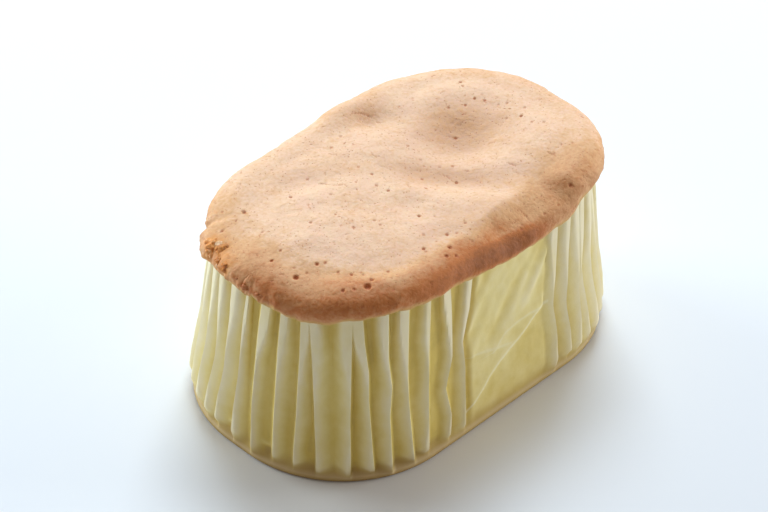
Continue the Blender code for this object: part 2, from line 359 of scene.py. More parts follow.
def heading(azimuth, elevation):
    """A direction seen from the cake. Azimuth 0 is -Y, and elevation is the angle over the floor."""
    level = math.cos(elevation)
    return Vector((math.sin(azimuth) * level, -math.cos(azimuth) * level, math.sin(elevation)))


towards_camera = heading(CAMERA_AZIMUTH, CAMERA_ELEVATION)
camera_right = Vector((math.cos(CAMERA_AZIMUTH), math.sin(CAMERA_AZIMUTH), 0.0))
camera_up = towards_camera.cross(camera_right)
camera_place = CAKE_MIDDLE + towards_camera * CAMERA_DISTANCE
aim = CAKE_MIDDLE - camera_right * LOOKS_LEFT - camera_up * LOOKS_DOWN

camera = new_object("camera", bpy.ops.object.camera_add, location=camera_place)
camera.rotation_euler = (aim - camera_place).to_track_quat("-Z", "Y").to_euler()
camera.rotation_euler.rotate_axis("Z", CAMERA_ROLL)
camera.data.sensor_width = 36.0
camera.data.lens = FOCAL_PIXELS / PIXELS_WIDE * camera.data.sensor_width
bpy.context.scene.camera = camera
print(f"the lens is {camera.data.lens:.1f} mm at {tuple(round(value, 4) for value in camera_place)}")

# %% [markdown]
# ## Floor and light
#
# The cake stands on a plain white surface. A big cool window behind it lights the top and throws the soft
# shadow that falls towards the camera. Two low windows at the sides light the paper's outer edges. A
# window is an area light. The room's own light is the world's background: a dot product tells how far a
# direction points away from the camera, and the colour runs from warm and dim in front of the cake to
# cool and bright behind it. The look is set to Standard, so that colours come out as they are mixed.

# %% A white floor
FLOOR_SIZE = 6.0
FLOOR_WHITE = (0.825, 0.832, 0.840)

floor = new_object("floor", bpy.ops.mesh.primitive_plane_add, size=FLOOR_SIZE, location=(0.0, 0.0, 0.0))
new_finish("white_table", floor, {
    "Base Color": (*FLOOR_WHITE, 1.0),
    "Roughness": 0.75,
    "Specular IOR Level": 0.2,
})

# %% Window and room light
ROOM_IN_FRONT = (0.266, 0.226, 0.172)
ROOM_BEHIND = (0.345, 0.362, 0.420)

WINDOW_DISTANCE = 1.0

# Each window: turn to the left from straight behind the cake, elevation, width, power and colour
WINDOWS = {
    "back_window": (0, 55, 0.50, 9.9, (0.735, 0.87, 1.0)),
    "left_window": (66, 11, 0.50, 8.5, (0.82, 0.94, 1.0)),
    "right_window": (-78, 11, 0.46, 4.9, (0.93, 0.97, 1.0)),
}

scene = bpy.context.scene
scene.view_settings.view_transform = "Standard"
world = bpy.data.worlds.new("room")
scene.world = world
world.use_nodes = True
room = world.node_tree
direction = add_node(room, "TexCoord", {}, "Generated")
away = heading(CAMERA_AZIMUTH + math.pi, 0.0)
share_behind = add_node(room, "VectorMath", {0: direction, 1: away}, "Value", operation="DOT_PRODUCT")
room_colour = mixed(room, between(room, share_behind, -1.0, 1.0), ROOM_IN_FRONT, ROOM_BEHIND)
room.links.new(room_colour, room.nodes["Background"].inputs["Color"])

for name, (turn, elevation, width, power, tint) in WINDOWS.items():
    towards_window = heading(CAMERA_AZIMUTH + math.radians(180 + turn), math.radians(elevation))
    place = CAKE_MIDDLE + towards_window * WINDOW_DISTANCE
    window = new_object(name, bpy.ops.object.light_add, type="AREA", location=place)
    window.data.shape = "SQUARE"
    window.data.size = width
    window.data.energy = power
    window.data.color = tint
    window.rotation_euler = towards_window.to_track_quat("Z", "Y").to_euler()
    print(name, "is at", tuple(round(value, 2) for value in window.location))

# %% [markdown]
# ## The paper case: where the folds run
#
# The case is one sheet of greaseproof paper, folded into upright pleats round both ends and left plain
# along the long sides. Each pleat is a crest that stands off the cake, with a valley that sticks to it. A
# wave texture could only give even pleats, but real ones lean, kink and differ in depth, so every crest
# gets its own line: its way at the foot, at half height and at the rim. The crests that the photograph
# shows are listed, and the others are spaced by rule.

# %% Sizes of the folds
PAPER_THICKNESS = 0.00012
PLEAT_PITCH = 0.0047
PLEAT_DEPTH = 0.00125
VALLEY_DEPTH = 0.00150
PLEAT_FOOT = 0.0006
STEEP_FLANK = 0.00055
SOFT_FLANK = 0.00350
CREST_SHARPNESS = 1.1
# CREST_HIGHLIGHT_WIDTH is how far the painted highlight along each crest's fold reaches.
CREST_HIGHLIGHT_WIDTH = 0.00030
# FLANK_SHADE makes the paleness negative on the steep flank, which paints shade there with SHADED_PAPER.
FLANK_SHADE = -0.32
FOLD_MIDDLE = 0.0215

# Ranges from which pleats draw how they differ: shares of the full depth and of both flanks' widths, the
# share of the soft flank that is level at the rim and at the foot, and a shift of the height it starts at
DEPTH_SHARES = (0.90, 1.03)
STEEP_SHARES = (0.8, 1.3)
SOFT_SHARES = (0.85, 1.15)
LEVEL_AT_RIM = (0.36, 0.66)
LEVEL_AT_FOOT = (0.05, 0.25)
FOOT_SHIFTS = (-0.0004, 0.0006)

# Heights between which the level part appears towards the rim, and between which it fades above the foot
RIM_LEVELLING = (0.020, 0.037)
FOOT_LEVELLING = (0.004, 0.012)

# How far the crests that are spaced by rule stray at half height, at the foot and at the rim, and how far
# every crest wanders on its way up
STRAY = 0.0007
STRAY_AT_FOOT = 0.0006
STRAY_AT_RIM = 0.0012
WANDER = 0.00009

# Inset of the crests at each height. Negative is outside the base oval.
LEAN = (
    (0.0000, 0.00040), (0.0003, 0.00012), (0.0007, 0.00000), (0.0011, 0.00008), (0.0015, 0.00020),
    (0.0044, -0.00060), (0.0100, -0.00005), (0.0180, 0.00115), (0.0260, 0.00185), (0.0340, 0.00255),
    (0.0400, 0.00320),
)

# Height at which the pleats have grown to their full depth, by way
PLEAT_FULL = (
    (-0.0400, 0.0048), (0.0030, 0.0048), (0.0120, 0.0042), (0.0190, 0.0032), (0.0320, 0.0028),
    (0.0420, 0.0034), (0.0520, 0.0042), (0.0800, 0.0040), (0.1250, 0.0046),
)

# Low folds that join the feet of pleats: first and last way, height at both, and how far they stand off.
# Each has a hollow under it, which is also darkened as painted shade.
WEBS = (
    (-0.0090, -0.0008, 0.0038, 0.0060, 0.45),
    (0.0032, 0.0122, 0.0048, 0.0062, 0.30),
)
WEB_WIDTH = 0.0007
WEB_HOLLOW_WIDTH = 0.0009
WEB_HOLLOW_BELOW = 0.0016
WEB_HOLLOW_DEPTH = 0.5

# Crests as ways at the foot, at half height and at the rim
CREST_HEIGHTS = (0.005, 0.020, 0.038)
NEAR_CRESTS = (
    (-0.0145, -0.0148, -0.0160), (-0.0103, -0.0101, -0.0122), (-0.0063, -0.0063, -0.0072),
    (-0.0014, -0.0017, -0.0024), (0.0039, 0.0041, 0.0055), (0.0094, 0.0097, 0.0103),
    (0.0142, 0.0146, 0.0149), (0.0189, 0.0182, 0.0169), (0.0258, 0.0256, 0.0255),
    (0.0306, 0.0293, 0.0278), (0.0344, 0.0336, 0.0330), (0.0393, 0.0379, 0.0376),
    (0.0432, 0.0429, 0.0430), (0.0493, 0.0497, 0.0491), (0.0536, 0.0539, 0.0556),
)
FAR_CRESTS = (
    (0.0814, 0.0820, 0.0836), (0.0855, 0.0858, 0.0878), (0.0889, 0.0900, 0.0913), (0.0927, 0.0920, 0.0937),
    (0.0971, 0.0963, 0.0987),
)

# Sharp sideways bends of single crests: way at half height, height of the bend and its size
KINKS = (
    (0.0539, 0.0250, -0.0013),
    (0.0497, 0.0160, -0.0019),
    (0.0293, 0.0270, 0.0004),
    (0.0336, 0.0225, 0.0006),
    (0.0820, 0.0190, -0.0006),
    (0.0858, 0.0165, -0.0005),
    (0.0920, 0.0230, -0.0006),
    (0.0963, 0.0240, -0.0008),
)
KINK_REACH = 0.0070
SAME_CREST = 0.0003
KNOT_HEIGHTS = (0.0, 0.0075, 0.0150, 0.0225, 0.0300, 0.0400)


# %% Every crest of the case
def crest_runs():
    """The crests in their two unbroken runs, each with ways at the foot, at half height and at the rim."""
    draw = random.Random(SEED)
    plain = FAR_CRESTS[0][1] - NEAR_CRESTS[-1][1]
    spans = (
        (FAR_CRESTS[-1][1], 3 * QUARTER - plain / 2),
        (3 * QUARTER + plain / 2, PERIMETER + NEAR_CRESTS[0][1]),
    )
    made = []
    for first, last in spans:
        count = round((last - first) / PLEAT_PITCH)
        pitch = (last - first) / count
        ways = [first + pitch * index + draw.uniform(-STRAY, STRAY) for index in range(count + 1)]
        run = []
        for way in ways:
            at_foot = way + draw.uniform(-STRAY_AT_FOOT, STRAY_AT_FOOT)
            run.append((at_foot, way, way + draw.uniform(-STRAY_AT_RIM, STRAY_AT_RIM)))
        made.append(run)
    far_run, back_run = made
    near_run = [tuple(way + PERIMETER for way in crest) for crest in NEAR_CRESTS]
    return [list(FAR_CRESTS) + far_run[1:], back_run[:-1] + near_run]


def wandering(draw, low, high, heights):
    """A value that wanders between low and high on its way up."""
    return np.interp(heights, KNOT_HEIGHTS, [draw.uniform(low, high) for _ in KNOT_HEIGHTS])


def crest_line(crest, heights, draw):
    """A crest's way at each height: a curve through its three ways that wanders a little, with its kinks."""
    line = np.polyval(np.polyfit(CREST_HEIGHTS, crest, 2), heights)
    line = line + wandering(draw, -WANDER, WANDER, heights)
    for way, height, size in KINKS:
        if abs((crest[1] - way + QUARTER) % PERIMETER - QUARTER) < SAME_CREST:
            line = line + size * np.clip(1 - np.abs(heights - height) / KINK_REACH, 0.0, 1.0)
    return line


runs = crest_runs()
print("crests in each run:", [len(run) for run in runs])

# %% [markdown]
# ## The paper case: its columns
#
# The sheet is cut into narrow upright columns, closer together where the paper bends sharply. The pleats
# were pressed flat to one side when the case was made, so each has a steep flank and a soft one, and the
# two halves of the case lean away from each other. For every column the cells below work out its way and
# how far it stands off the cake at each row.

# %% Rows and columns of the sheet
FOOT_ROWS = (0.0, 0.0003, 0.0006, 0.0009, 0.0012, 0.0016, 0.0021, 0.0027, 0.0034, 0.0042, 0.0050)
WALL_ROWS = 50
STEEP_SIDE_FIRST = (
    0.0, 0.025, 0.06, 0.10, 0.15, 0.21, 0.29, 0.38, 0.47, 0.56, 0.65, 0.74, 0.82, 0.90, 0.96,
)
STEEP_SIDE_LAST = (0.0, *(1 - place for place in reversed(STEEP_SIDE_FIRST[1:])))
PLAIN_COLUMNS = 58
CROWDING = 0.11

# How much higher than the rim the crust's lower edge runs, by way
RIM_LIFT = (
    (-0.0400, 0.0000), (-0.0170, -0.0009), (-0.0060, 0.0002), (0.0060, 0.0001), (0.0150, -0.0006),
    (0.0250, 0.0007), (0.0370, 0.0013), (0.0480, 0.0009), (0.0600, -0.0006), (0.0680, -0.0017),
    (0.0770, -0.0017), (0.0860, -0.0012), (0.0930, 0.0012), (0.1030, 0.0017), (0.1250, 0.0003),
    (0.1680, 0.0002), (0.1880, 0.0015), (0.2060, 0.0000),
)


def leans_forward(way):
    """Whether the pleats here have their steep flank on the side of the larger ways."""
    return (way - FOLD_MIDDLE) % PERIMETER < PERIMETER / 2


class Pleat:
    """One pleat: the line of its crest, and its shape at each height."""

    def __init__(self, crest, heights, draw):
        self.line = crest_line(crest, heights, draw)
        self.depth = wandering(draw, *DEPTH_SHARES, heights)
        self.forward = leans_forward(crest[1])
        self.steep = STEEP_FLANK * wandering(draw, *STEEP_SHARES, heights)
        self.soft = SOFT_FLANK * wandering(draw, *SOFT_SHARES, heights)
        level_at_rim = draw.uniform(*LEVEL_AT_RIM)
        level_at_foot = draw.uniform(*LEVEL_AT_FOOT)
        near_foot = 1 - s_curve(*FOOT_LEVELLING, heights)
        self.level = level_at_rim * s_curve(*RIM_LEVELLING, heights) + level_at_foot * near_foot
        foot = draw.uniform(*FOOT_SHIFTS)
        full = soft_steps(PLEAT_FULL, np.array(crest[0]))
        self.grown = s_curve(PLEAT_FOOT + foot, full + foot, heights)

    def on_steep(self, away):
        """Whether a place is on the steep flank."""
        return (away != 0) & ((away > 0) == self.forward)

    def rise(self, away):
        """How far the paper stands off the cake, from 0 in a valley to 1 on the crest."""
        width = np.where(self.on_steep(away), self.steep, self.soft)
        level = np.where(self.on_steep(away), 0.0, self.level)
        share = np.clip((np.abs(away) / width - level) / (1 - level), 0.0, 1.0)
        return (1 - share) ** CREST_SHARPNESS * self.depth * self.grown

    def pale(self, away):
        """How pale the paper is: like its rise, but negative on the steep flank, which is stuck down under
        the fold and gets painted shade.
        """
        return self.rise(away) * np.where(self.on_steep(away), FLANK_SHADE, 1.0)

    def fold(self, away):
        """How near the paper is to the sharp fold of the crest, where a painted highlight whitens it."""
        return np.where(self.on_steep(away), 0.0, np.exp(-np.abs(away) / CREST_HIGHLIGHT_WIDTH)) * self.grown


def column_table():
    """Ways, rises, paleness with painted flank shade, painted crest highlights and room beside the pleats, a
    row per column.
    """
    draw = random.Random(SEED + 1)
    rest = np.concatenate((FOOT_ROWS, np.linspace(FOOT_ROWS[-1], RIM_HEIGHT, WALL_ROWS + 1)[1:]))
    pleats = [[Pleat(crest, rest, draw) for crest in run] for run in runs]
    ways, rises, pales_and_shade, folds, clear = [], [], [], [], []

    def add_column(way, before, after, turn, free):
        for values, kind in ((rises, Pleat.rise), (pales_and_shade, Pleat.pale), (folds, Pleat.fold)):
            values.append(np.maximum(kind(before, way - before.line), kind(after, way - after.line - turn)))
        ways.append(way)
        clear.append(free)

    for run, following, turn in ((pleats[0], pleats[1], 0.0), (pleats[1], pleats[0], PERIMETER)):
        for pleat, after in zip(run, run[1:]):
            places = STEEP_SIDE_FIRST if pleat.forward else STEEP_SIDE_LAST
            for place in places:
                way = pleat.line + (after.line - pleat.line) * place
                add_column(way, pleat, after, 0.0, np.zeros(len(rest)))
        last, first = run[-1], following[0]
        width = first.line + turn - last.line
        for index in range(PLAIN_COLUMNS):
            place = index / PLAIN_COLUMNS
            way = last.line + width * (place - CROWDING * math.sin(2 * math.pi * place))
            add_column(way, last, first, turn, np.minimum(way - last.line, first.line + turn - way))
    return np.array(ways), np.array(rises), np.array(pales_and_shade), np.array(folds), np.array(clear), rest


def web_rise(way, height):
    """How far the low folds at the feet stand off, with the hollow under each."""
    way = (way + QUARTER) % PERIMETER - QUARTER
    rise = np.zeros_like(way)
    for first, last, first_height, last_height, amount in WEBS:
        share = np.clip((way - first) / (last - first), 0.0, 1.0)
        over = height - first_height - (last_height - first_height) * share
        ridge = np.exp(-((over / WEB_WIDTH) ** 2))
        hollow = np.exp(-(((over + WEB_HOLLOW_BELOW) / WEB_HOLLOW_WIDTH) ** 2))
        rise += amount * np.sqrt(np.sin(math.pi * share)) * (ridge - WEB_HOLLOW_DEPTH * hollow)
    return rise


column_ways, column_rises, column_pales_and_shade, column_crest_highlights, column_clear, rest_heights = column_table()
heights = np.broadcast_to(rest_heights, column_ways.shape)
webs = web_rise(column_ways, heights)
# In the paleness, the hollow under each web goes below zero: painted shade.
for values in (column_rises, column_pales_and_shade):
    values += np.where(webs > 0, np.maximum(webs - values, 0.0), webs * (1 - values))
print("columns and rows:", column_ways.shape)

# %% [markdown]
# ## The paper case: the plain long sides
#
# The long sides aren't pleated. The paper there sticks to the cake low down and hangs slack above one
# long diagonal crease, with two softer creases over it. Above them it bulges like a pillow and has soft
# upright folds. The photograph shows one long side. The other one gets the same creases.

# %% Creases of the plain sides
# Places along each crease: way from the middle of the long side, and height
LONG_CREASE = (
    (-0.0180, -0.0010), (-0.0150, 0.0012), (-0.0112, 0.0048), (-0.0093, 0.0068), (-0.0070, 0.0085),
    (-0.0041, 0.0112), (-0.0004, 0.0133), (0.0031, 0.0148), (0.0054, 0.0156), (0.0079, 0.0167),
    (0.0098, 0.0179), (0.0118, 0.0192), (0.0140, 0.0200), (0.0180, 0.0208),
)
NEAR_CREASE = ((-0.0090, 0.0188), (-0.0069, 0.0183), (-0.0047, 0.0178), (-0.0010, 0.0168), (0.0026, 0.0158))
UPPER_CREASE = (
    (-0.0024, 0.0164), (-0.0005, 0.0178), (0.0013, 0.0193), (0.0046, 0.0199), (0.0093, 0.0199),
    (0.0120, 0.0196),
)
CREASES = {
    "over_long_crease": LONG_CREASE,
    "over_near_crease": NEAR_CREASE,
    "over_upper_crease": UPPER_CREASE,
}

# How far each crease, the stuck paper, the pillow and its folds stand off, as shares of the valleys' depth
RIDGES = {"over_long_crease": 0.24, "over_near_crease": 0.10, "over_upper_crease": 0.14}
STUCK = 0.26
PILLOW = 0.16
DENTS = 0.06
FOLDS_MEAN = 0.06
FOLDS = 0.36

# Between which heights over the long crease the pillow and the folds come in, between which distances from
# the pleats and heights over the floor the slack does, and how wide a crease is
PILLOW_STARTS = (-0.0004, 0.0012)
FOLDS_START = (0.0030, 0.0090)
SLACK_STARTS = (0.0010, 0.0028)
SLACK_RISES = (0.0012, 0.0040)
RIDGE_WIDTH = 0.0009
FAR_FROM_CREASES = 0.010
FAR_SIDE_SEED = 31.0

# Bumps to the metre of the dents, and of the folds: along the side, slanting and upwards
DENTS_PER_METRE = 420
FOLDS_PER_METRE = (300, 210, 60)


def height_over(crease, across, height):
    """How far above a crease a place is. Past the crease's ends it counts as further away."""
    gap = height - straight(crease, across)
    beyond = np.maximum(np.maximum(crease[0][0] - across, across - crease[-1][0]), 0.0)
    return gap + np.where(gap < 0, -beyond, beyond)


def plain_side(way, height):
    """How far a plain side stands off, as a share of the valleys' depth, and heights over its creases."""
    across = way % (2 * QUARTER) - QUARTER
    gaps = {name: height_over(crease, across, height) for name, crease in CREASES.items()}
    side = np.where(way % PERIMETER < 2 * QUARTER, 0.0, FAR_SIDE_SEED)
    along, slanting, upwards = FOLDS_PER_METRE
    folds = rough(np.column_stack((across * along - height * slanting, height * upwards, side)), 1.0, 3.0)
    dents = rough(np.column_stack((across * DENTS_PER_METRE, height * DENTS_PER_METRE, side)), 1.0, 9.0)
    over_long = gaps["over_long_crease"]
    rise = STUCK + PILLOW * s_curve(*PILLOW_STARTS, over_long) + DENTS * dents
    rise += s_curve(*FOLDS_START, over_long) * (FOLDS_MEAN + FOLDS * folds)
    for name, gap in gaps.items():
        rise += RIDGES[name] * np.exp(-((gap / RIDGE_WIDTH) ** 2))
    return rise, gaps


slack = s_curve(*SLACK_STARTS, column_clear) * s_curve(*SLACK_RISES, heights)
on_side = slack > 0
side_rise, side_gaps = plain_side(column_ways[on_side], heights[on_side])
for values in (column_rises, column_pales_and_shade):
    values[on_side] = np.maximum(values[on_side], side_rise * slack[on_side])
column_gaps = {name: np.full(column_ways.shape, FAR_FROM_CREASES) for name in side_gaps}
for name, gap in side_gaps.items():
    column_gaps[name][on_side] = gap
print("the slack sides stand off by up to", round(float(side_rise.max() * VALLEY_DEPTH * 1000), 2), "mm")

# %% [markdown]
# ## The paper case: fold the sheet
#
# A circle with one point for each column is extruded upwards, one ring for each row. Its round shape
# doesn't matter: the ring tells a point's row and the angle tells its column, and from those each point
# moves to its place. A Solidify modifier then gives the sheet its thickness, with a cut edge at the top.

# %% Extrude the rings
circle = {"vertices": len(column_ways), "radius": 1.0, "fill_type": "NGON"}
paper = new_object("paper_sheet", bpy.ops.mesh.primitive_circle_add, **circle)
extrude_rings(len(rest_heights) - 1, 1.0)
tube = read_points(paper)
tube_row = np.rint(tube[:, 2]).astype(int)
angle = np.arctan2(tube[:, 1], tube[:, 0])
turns = (angle - angle[0]) / (2 * math.pi)
tube_column = np.rint(turns * len(column_ways)).astype(int) % len(column_ways)
print("points:", len(tube), "rows up to", tube_row.max())


# %% Move each point to its place
SPREAD_FROM = 0.030
CUT_EDGE_GAP = 0.0003
CUT_EDGE_WAVES = 0.0002
CUT_EDGE_WAVES_PER_METRE = 400


def paper_top(way):
    """The height of the paper's cut edge, just under the crust and a little uneven."""
    spots = np.column_stack((way * CUT_EDGE_WAVES_PER_METRE, way * 0, way * 0))
    uneven = CUT_EDGE_WAVES * np.abs(rough(spots, 1.0, 5.5))
    return RIM_HEIGHT + soft_steps(RIM_LIFT, way) - CUT_EDGE_GAP - uneven


def paper_points(way, rest, rise):
    """Places of the paper's points. The upper rows spread to reach the uneven cut edge."""
    reach = (rest - SPREAD_FROM) / (RIM_HEIGHT - SPREAD_FROM)
    height = np.where(reach > 0, SPREAD_FROM + (paper_top(way) - SPREAD_FROM) * reach, rest)
    grown = s_curve(PLEAT_FOOT, soft_steps(PLEAT_FULL, way), height)
    inset = straight(LEAN, height) + VALLEY_DEPTH * (grown - rise)
    return oval_points(way, inset, height)


point_way = column_ways[tube_column, tube_row]
point_rise = column_rises[tube_column, tube_row]
write_points(paper, paper_points(point_way, rest_heights[tube_row], point_rise))
# The stored paleness carries painted shade on the steep flanks and in the hollows under the webs.
write_values(paper, "pale", column_pales_and_shade[tube_column, tube_row])
# The creasing stored here is a painted highlight along the crests' folds.
write_values(paper, "crease_highlight", column_crest_highlights[tube_column, tube_row])
for name, gap in column_gaps.items():
    write_values(paper, name, gap[tube_column, tube_row] * 1000)

# %% [markdown]
# Sugar has baked into the lowest part of the paper, most of all at the near end and between the feet of
# the pleats. A darker line runs along the very bottom, partly soaked brown and partly painted shade where
# the paper meets the floor, and a pale bead of pressed paper runs just above it. How strong each is at a
# point is stored with the mesh.

# %% The baked foot of the paper
# How dark the foot is, by way
DARK_FOOT = (
    (-0.0400, 0.55), (-0.0160, 0.85), (0.0100, 0.95), (0.0250, 1.0), (0.0380, 0.88), (0.0600, 0.66),
    (0.0800, 0.62), (0.0950, 0.75), (0.1250, 0.60),
)
STAIN_EDGE = ((0.0010, 260, 3.0), (0.0005, 900, 5.0))
BAKED_FADES = (0.0004, 0.0058)
LOWER_ON_CRESTS = 0.0010
BOTTOM_SOAK_AND_SHADE_FADES = (0.0003, 0.0009)
BEAD_HEIGHT = 0.0013
BEAD_WIDTH = 0.00035
FOLD_ANGLE = 50
CUT_EDGE_ANGLE = 38

low = rest_heights[tube_row]
darkness = soft_steps(DARK_FOOT, point_way)
stain_height = low + rough_sum(read_points(paper), *STAIN_EDGE) + LOWER_ON_CRESTS * point_rise
write_values(paper, "baked", (1 - s_curve(*BAKED_FADES, stain_height)) * darkness)
write_values(paper, "bead", np.exp(-(((low - BEAD_HEIGHT) / BEAD_WIDTH) ** 2)))
# The dark bottom line is partly soaked brown and partly painted shade where the paper meets the floor.
write_values(paper, "soaked_bottom_and_shade", (1 - s_curve(*BOTTOM_SOAK_AND_SHADE_FADES, low)) * darkness)
finish_mesh(paper, FOLD_ANGLE)

thickness = paper.modifiers.new("paper thickness", "SOLIDIFY")
thickness.thickness = PAPER_THICKNESS
thickness.offset = -1.0
bpy.ops.object.modifier_apply(modifier=thickness.name)
bpy.ops.object.shade_smooth_by_angle(angle=math.radians(CUT_EDGE_ANGLE))
print("the paper case has", count_triangles(paper), "triangles")

# %% [markdown]
# ## The sponge: forms of the crust
#
# The crust is a thin baked skin. It has a rounded edge that overhangs the paper, broad dimples and
# swellings where the cake sank as it cooled, short fine cracks, and open bubbles. The broad forms are a
# short list of soft round hollows and swellings, because each can then be set against the photograph by
# itself.

# %% Sizes of the crust
# The rounded edge from under the lip to the top: inset from the base oval, height above the rim
LIP_PROFILE = (
    (0.00480, -0.00015), (0.00310, -0.00045), (0.00245, 0.00025), (0.00230, 0.00130), (0.00245, 0.00230),
    (0.00300, 0.00330), (0.00385, 0.00415), (0.00520, 0.00475),
)
SHOULDER_SLOPE = 0.42
ROLL_WIDTH = 0.0060

# How wide the slope is from the flat top to where the lip begins, by way
SHOULDER_WIDTH = (
    (-0.0400, 0.0070), (-0.0160, 0.0085), (0.0000, 0.0090), (0.0120, 0.0090), (0.0240, 0.0070),
    (0.0360, 0.0058), (0.0500, 0.0047), (0.0680, 0.0047), (0.0780, 0.0058), (0.0900, 0.0075),
    (0.1250, 0.0070),
)
HALF_TOP_WIDTH = BASE_WIDTH / 2 - LIP_PROFILE[-1][0]

# How much further than usual the crust swells over the paper, by way
LIP_SWELL = (
    (-0.0400, 0.0), (-0.0300, 0.0004), (-0.0255, 0.0001), (-0.0236, -0.0005), (-0.0214, 0.0006),
    (-0.0165, 0.0009), (-0.0135, 0.0002), (0.0000, 0.0), (0.0780, 0.0), (0.0900, -0.0001),
    (0.1040, 0.0006), (0.1250, 0.0),
)

# How crumbly the lower edge is, and how far it hangs down at a few places, by way
CRUMBLY = (
    (-0.0400, 0.5), (-0.0200, 1.2), (-0.0060, 1.6), (0.0080, 1.3), (0.0160, 0.60), (0.0400, 0.40),
    (0.0600, 0.5),
)
LIP_DROP = (
    (-0.0400, 0.0), (0.0172, 0.0), (0.0205, -0.0007), (0.0235, 0.0), (0.0345, 0.0003), (0.0380, 0.0),
)

# Hollows and swellings: x, y, half length, half width, turn in degrees, rise. Negative is a hollow.
TOP_FORMS = (
    (0.0178, 0.0010, 0.0090, 0.0088, 43, -0.0037),
    (0.0090, 0.0180, 0.0070, 0.0034, -35, -0.0013),
    (0.0060, -0.0070, 0.0115, 0.0040, -52, -0.0017),
    (-0.0069, -0.0073, 0.0050, 0.0036, 0, -0.0007),
    (-0.0165, 0.0120, 0.0070, 0.0032, -30, -0.0009),
    (0.0030, 0.0020, 0.0050, 0.0040, -40, -0.0004),
    (0.0070, -0.0215, 0.0090, 0.0036, -12, 0.0005),
    (0.0330, -0.0140, 0.0110, 0.0080, -30, 0.0012),
    (0.0300, 0.0120, 0.0080, 0.0080, 0, 0.0006),
    (-0.0280, -0.0020, 0.0120, 0.0120, 0, 0.0004),
    (0.0170, -0.0262, 0.0040, 0.0030, -20, 0.0007),
)

# The widest open bubbles: x, y and width
WIDE_PORES = (
    (-0.0303, -0.0199, 0.0018), (-0.0284, -0.0190, 0.0011), (-0.0376, -0.0078, 0.0014),
    (-0.0324, -0.0082, 0.0009), (-0.0380, -0.0011, 0.0008), (-0.0101, -0.0226, 0.0011),
    (-0.0127, -0.0243, 0.0011), (-0.0141, -0.0195, 0.0009), (-0.0105, -0.0257, 0.0009),
    (-0.0070, -0.0113, 0.0009), (-0.0046, 0.0044, 0.0007), (-0.0309, 0.0141, 0.0010),
    (0.0075, -0.0079, 0.0008), (0.0217, -0.0263, 0.0010), (-0.0377, 0.0139, 0.0008),
    (-0.0346, -0.0173, 0.0009), (-0.0327, -0.0187, 0.0008), (-0.0296, -0.0148, 0.0008),
    (0.0068, -0.0277, 0.0007), (-0.0073, -0.0193, 0.0008), (0.0314, 0.0138, 0.0008),
    (0.0292, 0.0075, 0.0007), (0.0185, 0.0028, 0.0008), (0.0314, -0.0033, 0.0008),
    (-0.0213, 0.0109, 0.0008), (-0.0060, -0.0018, 0.0008), (0.0034, -0.0027, 0.0007),
    (-0.0153, -0.0085, 0.0006),
)

# Short cracks of the skin: x and y of both ends, and width
CRACKS = (
    (-0.0142, 0.0100, -0.0133, 0.0082, 0.00042), (-0.0133, 0.0082, -0.0112, 0.0055, 0.00028),
    (0.0065, 0.0214, 0.0090, 0.0190, 0.00030), (0.0090, 0.0190, 0.0101, 0.0168, 0.00034),
    (-0.0060, 0.0154, -0.0054, 0.0138, 0.00036), (0.0002, 0.0095, 0.0000, 0.0076, 0.00036),
    (0.0258, -0.0160, 0.0262, -0.0179, 0.00050), (0.0180, -0.0118, 0.0183, -0.0140, 0.00036),
    (0.0207, -0.0026, 0.0218, -0.0041, 0.00036), (0.0069, -0.0044, 0.0072, -0.0071, 0.00034),
    (0.0099, -0.0244, 0.0099, -0.0279, 0.00030), (0.0178, 0.0040, 0.0192, 0.0024, 0.00036),
)
SMALL_PORES = 430
print("forms, bubbles and cracks:", len(TOP_FORMS), len(WIDE_PORES), len(CRACKS))

# %% [markdown]
# ## The sponge: a sheet of cells
#
# A grid primitive makes the top. A round mesh with a pole in the middle would crowd its faces there, so
# the grid's square rings are bent into the rings of the oval, which keeps all cells alike. The grid's
# edge is then extruded down, ring after ring, for the rounded lip and the side that stands in the paper,
# and its last ring is closed with a face.

# %% Grid and extruded edge
CELLS_LONG = 312
CELLS_WIDE = 196
LIP_ROWS = 24
SIDE_HEIGHTS = (0.0340, 0.0260, 0.0160, 0.0080, 0.0020)

grid = {"x_subdivisions": CELLS_LONG, "y_subdivisions": CELLS_WIDE, "size": 2.0}
sponge = new_object("crusted_sponge", bpy.ops.mesh.primitive_grid_add, **grid)
extrude_rings(LIP_ROWS + 1 + len(SIDE_HEIGHTS) + 1, -1.0, close=True)
flat = read_points(sponge)
print("points of the sponge:", len(flat), "across", np.ptp(flat, axis=0))

# %% [markdown]
# Every point now lies on a lattice, so its column, its row and its ring can be read from where it is. How
# far it is from each edge of the grid tells the side of the ring that it is on, and how far along that
# side it is from corner to corner.


# %% Read each point's ring and way
def side_way(side, along, corner, quarter_length):
    """The way of a place along a side of a ring. The sides meet in the middles of the corners."""
    half = 2 * quarter_length
    start = np.choose(side, [corner, half - corner, half + corner, 2 * half - corner])
    return start + along * np.where(side % 2 == 0, half - 2 * corner, 2 * corner)


cell_x = np.rint((flat[:, 0] + 1) / 2 * CELLS_LONG)
cell_y = np.rint((flat[:, 1] + 1) / 2 * CELLS_WIDE)
row = np.rint(-flat[:, 2]).astype(int)
from_edges = np.array([cell_y, CELLS_LONG - cell_x, CELLS_WIDE - cell_y, cell_x])
ring = from_edges.min(axis=0)
side = from_edges.argmin(axis=0)
side_cells = np.where(side % 2 == 0, CELLS_LONG, CELLS_WIDE) - 2 * ring
from_corner = np.take_along_axis(from_edges, (side[None] - 1) % 4, axis=0)[0] - ring
along = from_corner / np.maximum(side_cells, TINY)
share = ring / (CELLS_WIDE / 2)
sponge_way = side_way(side, along, HALF_END + CORNER_ARC / 2, QUARTER)
print("rings:", int(ring.max()) + 1, "rows below the top:", row.max())


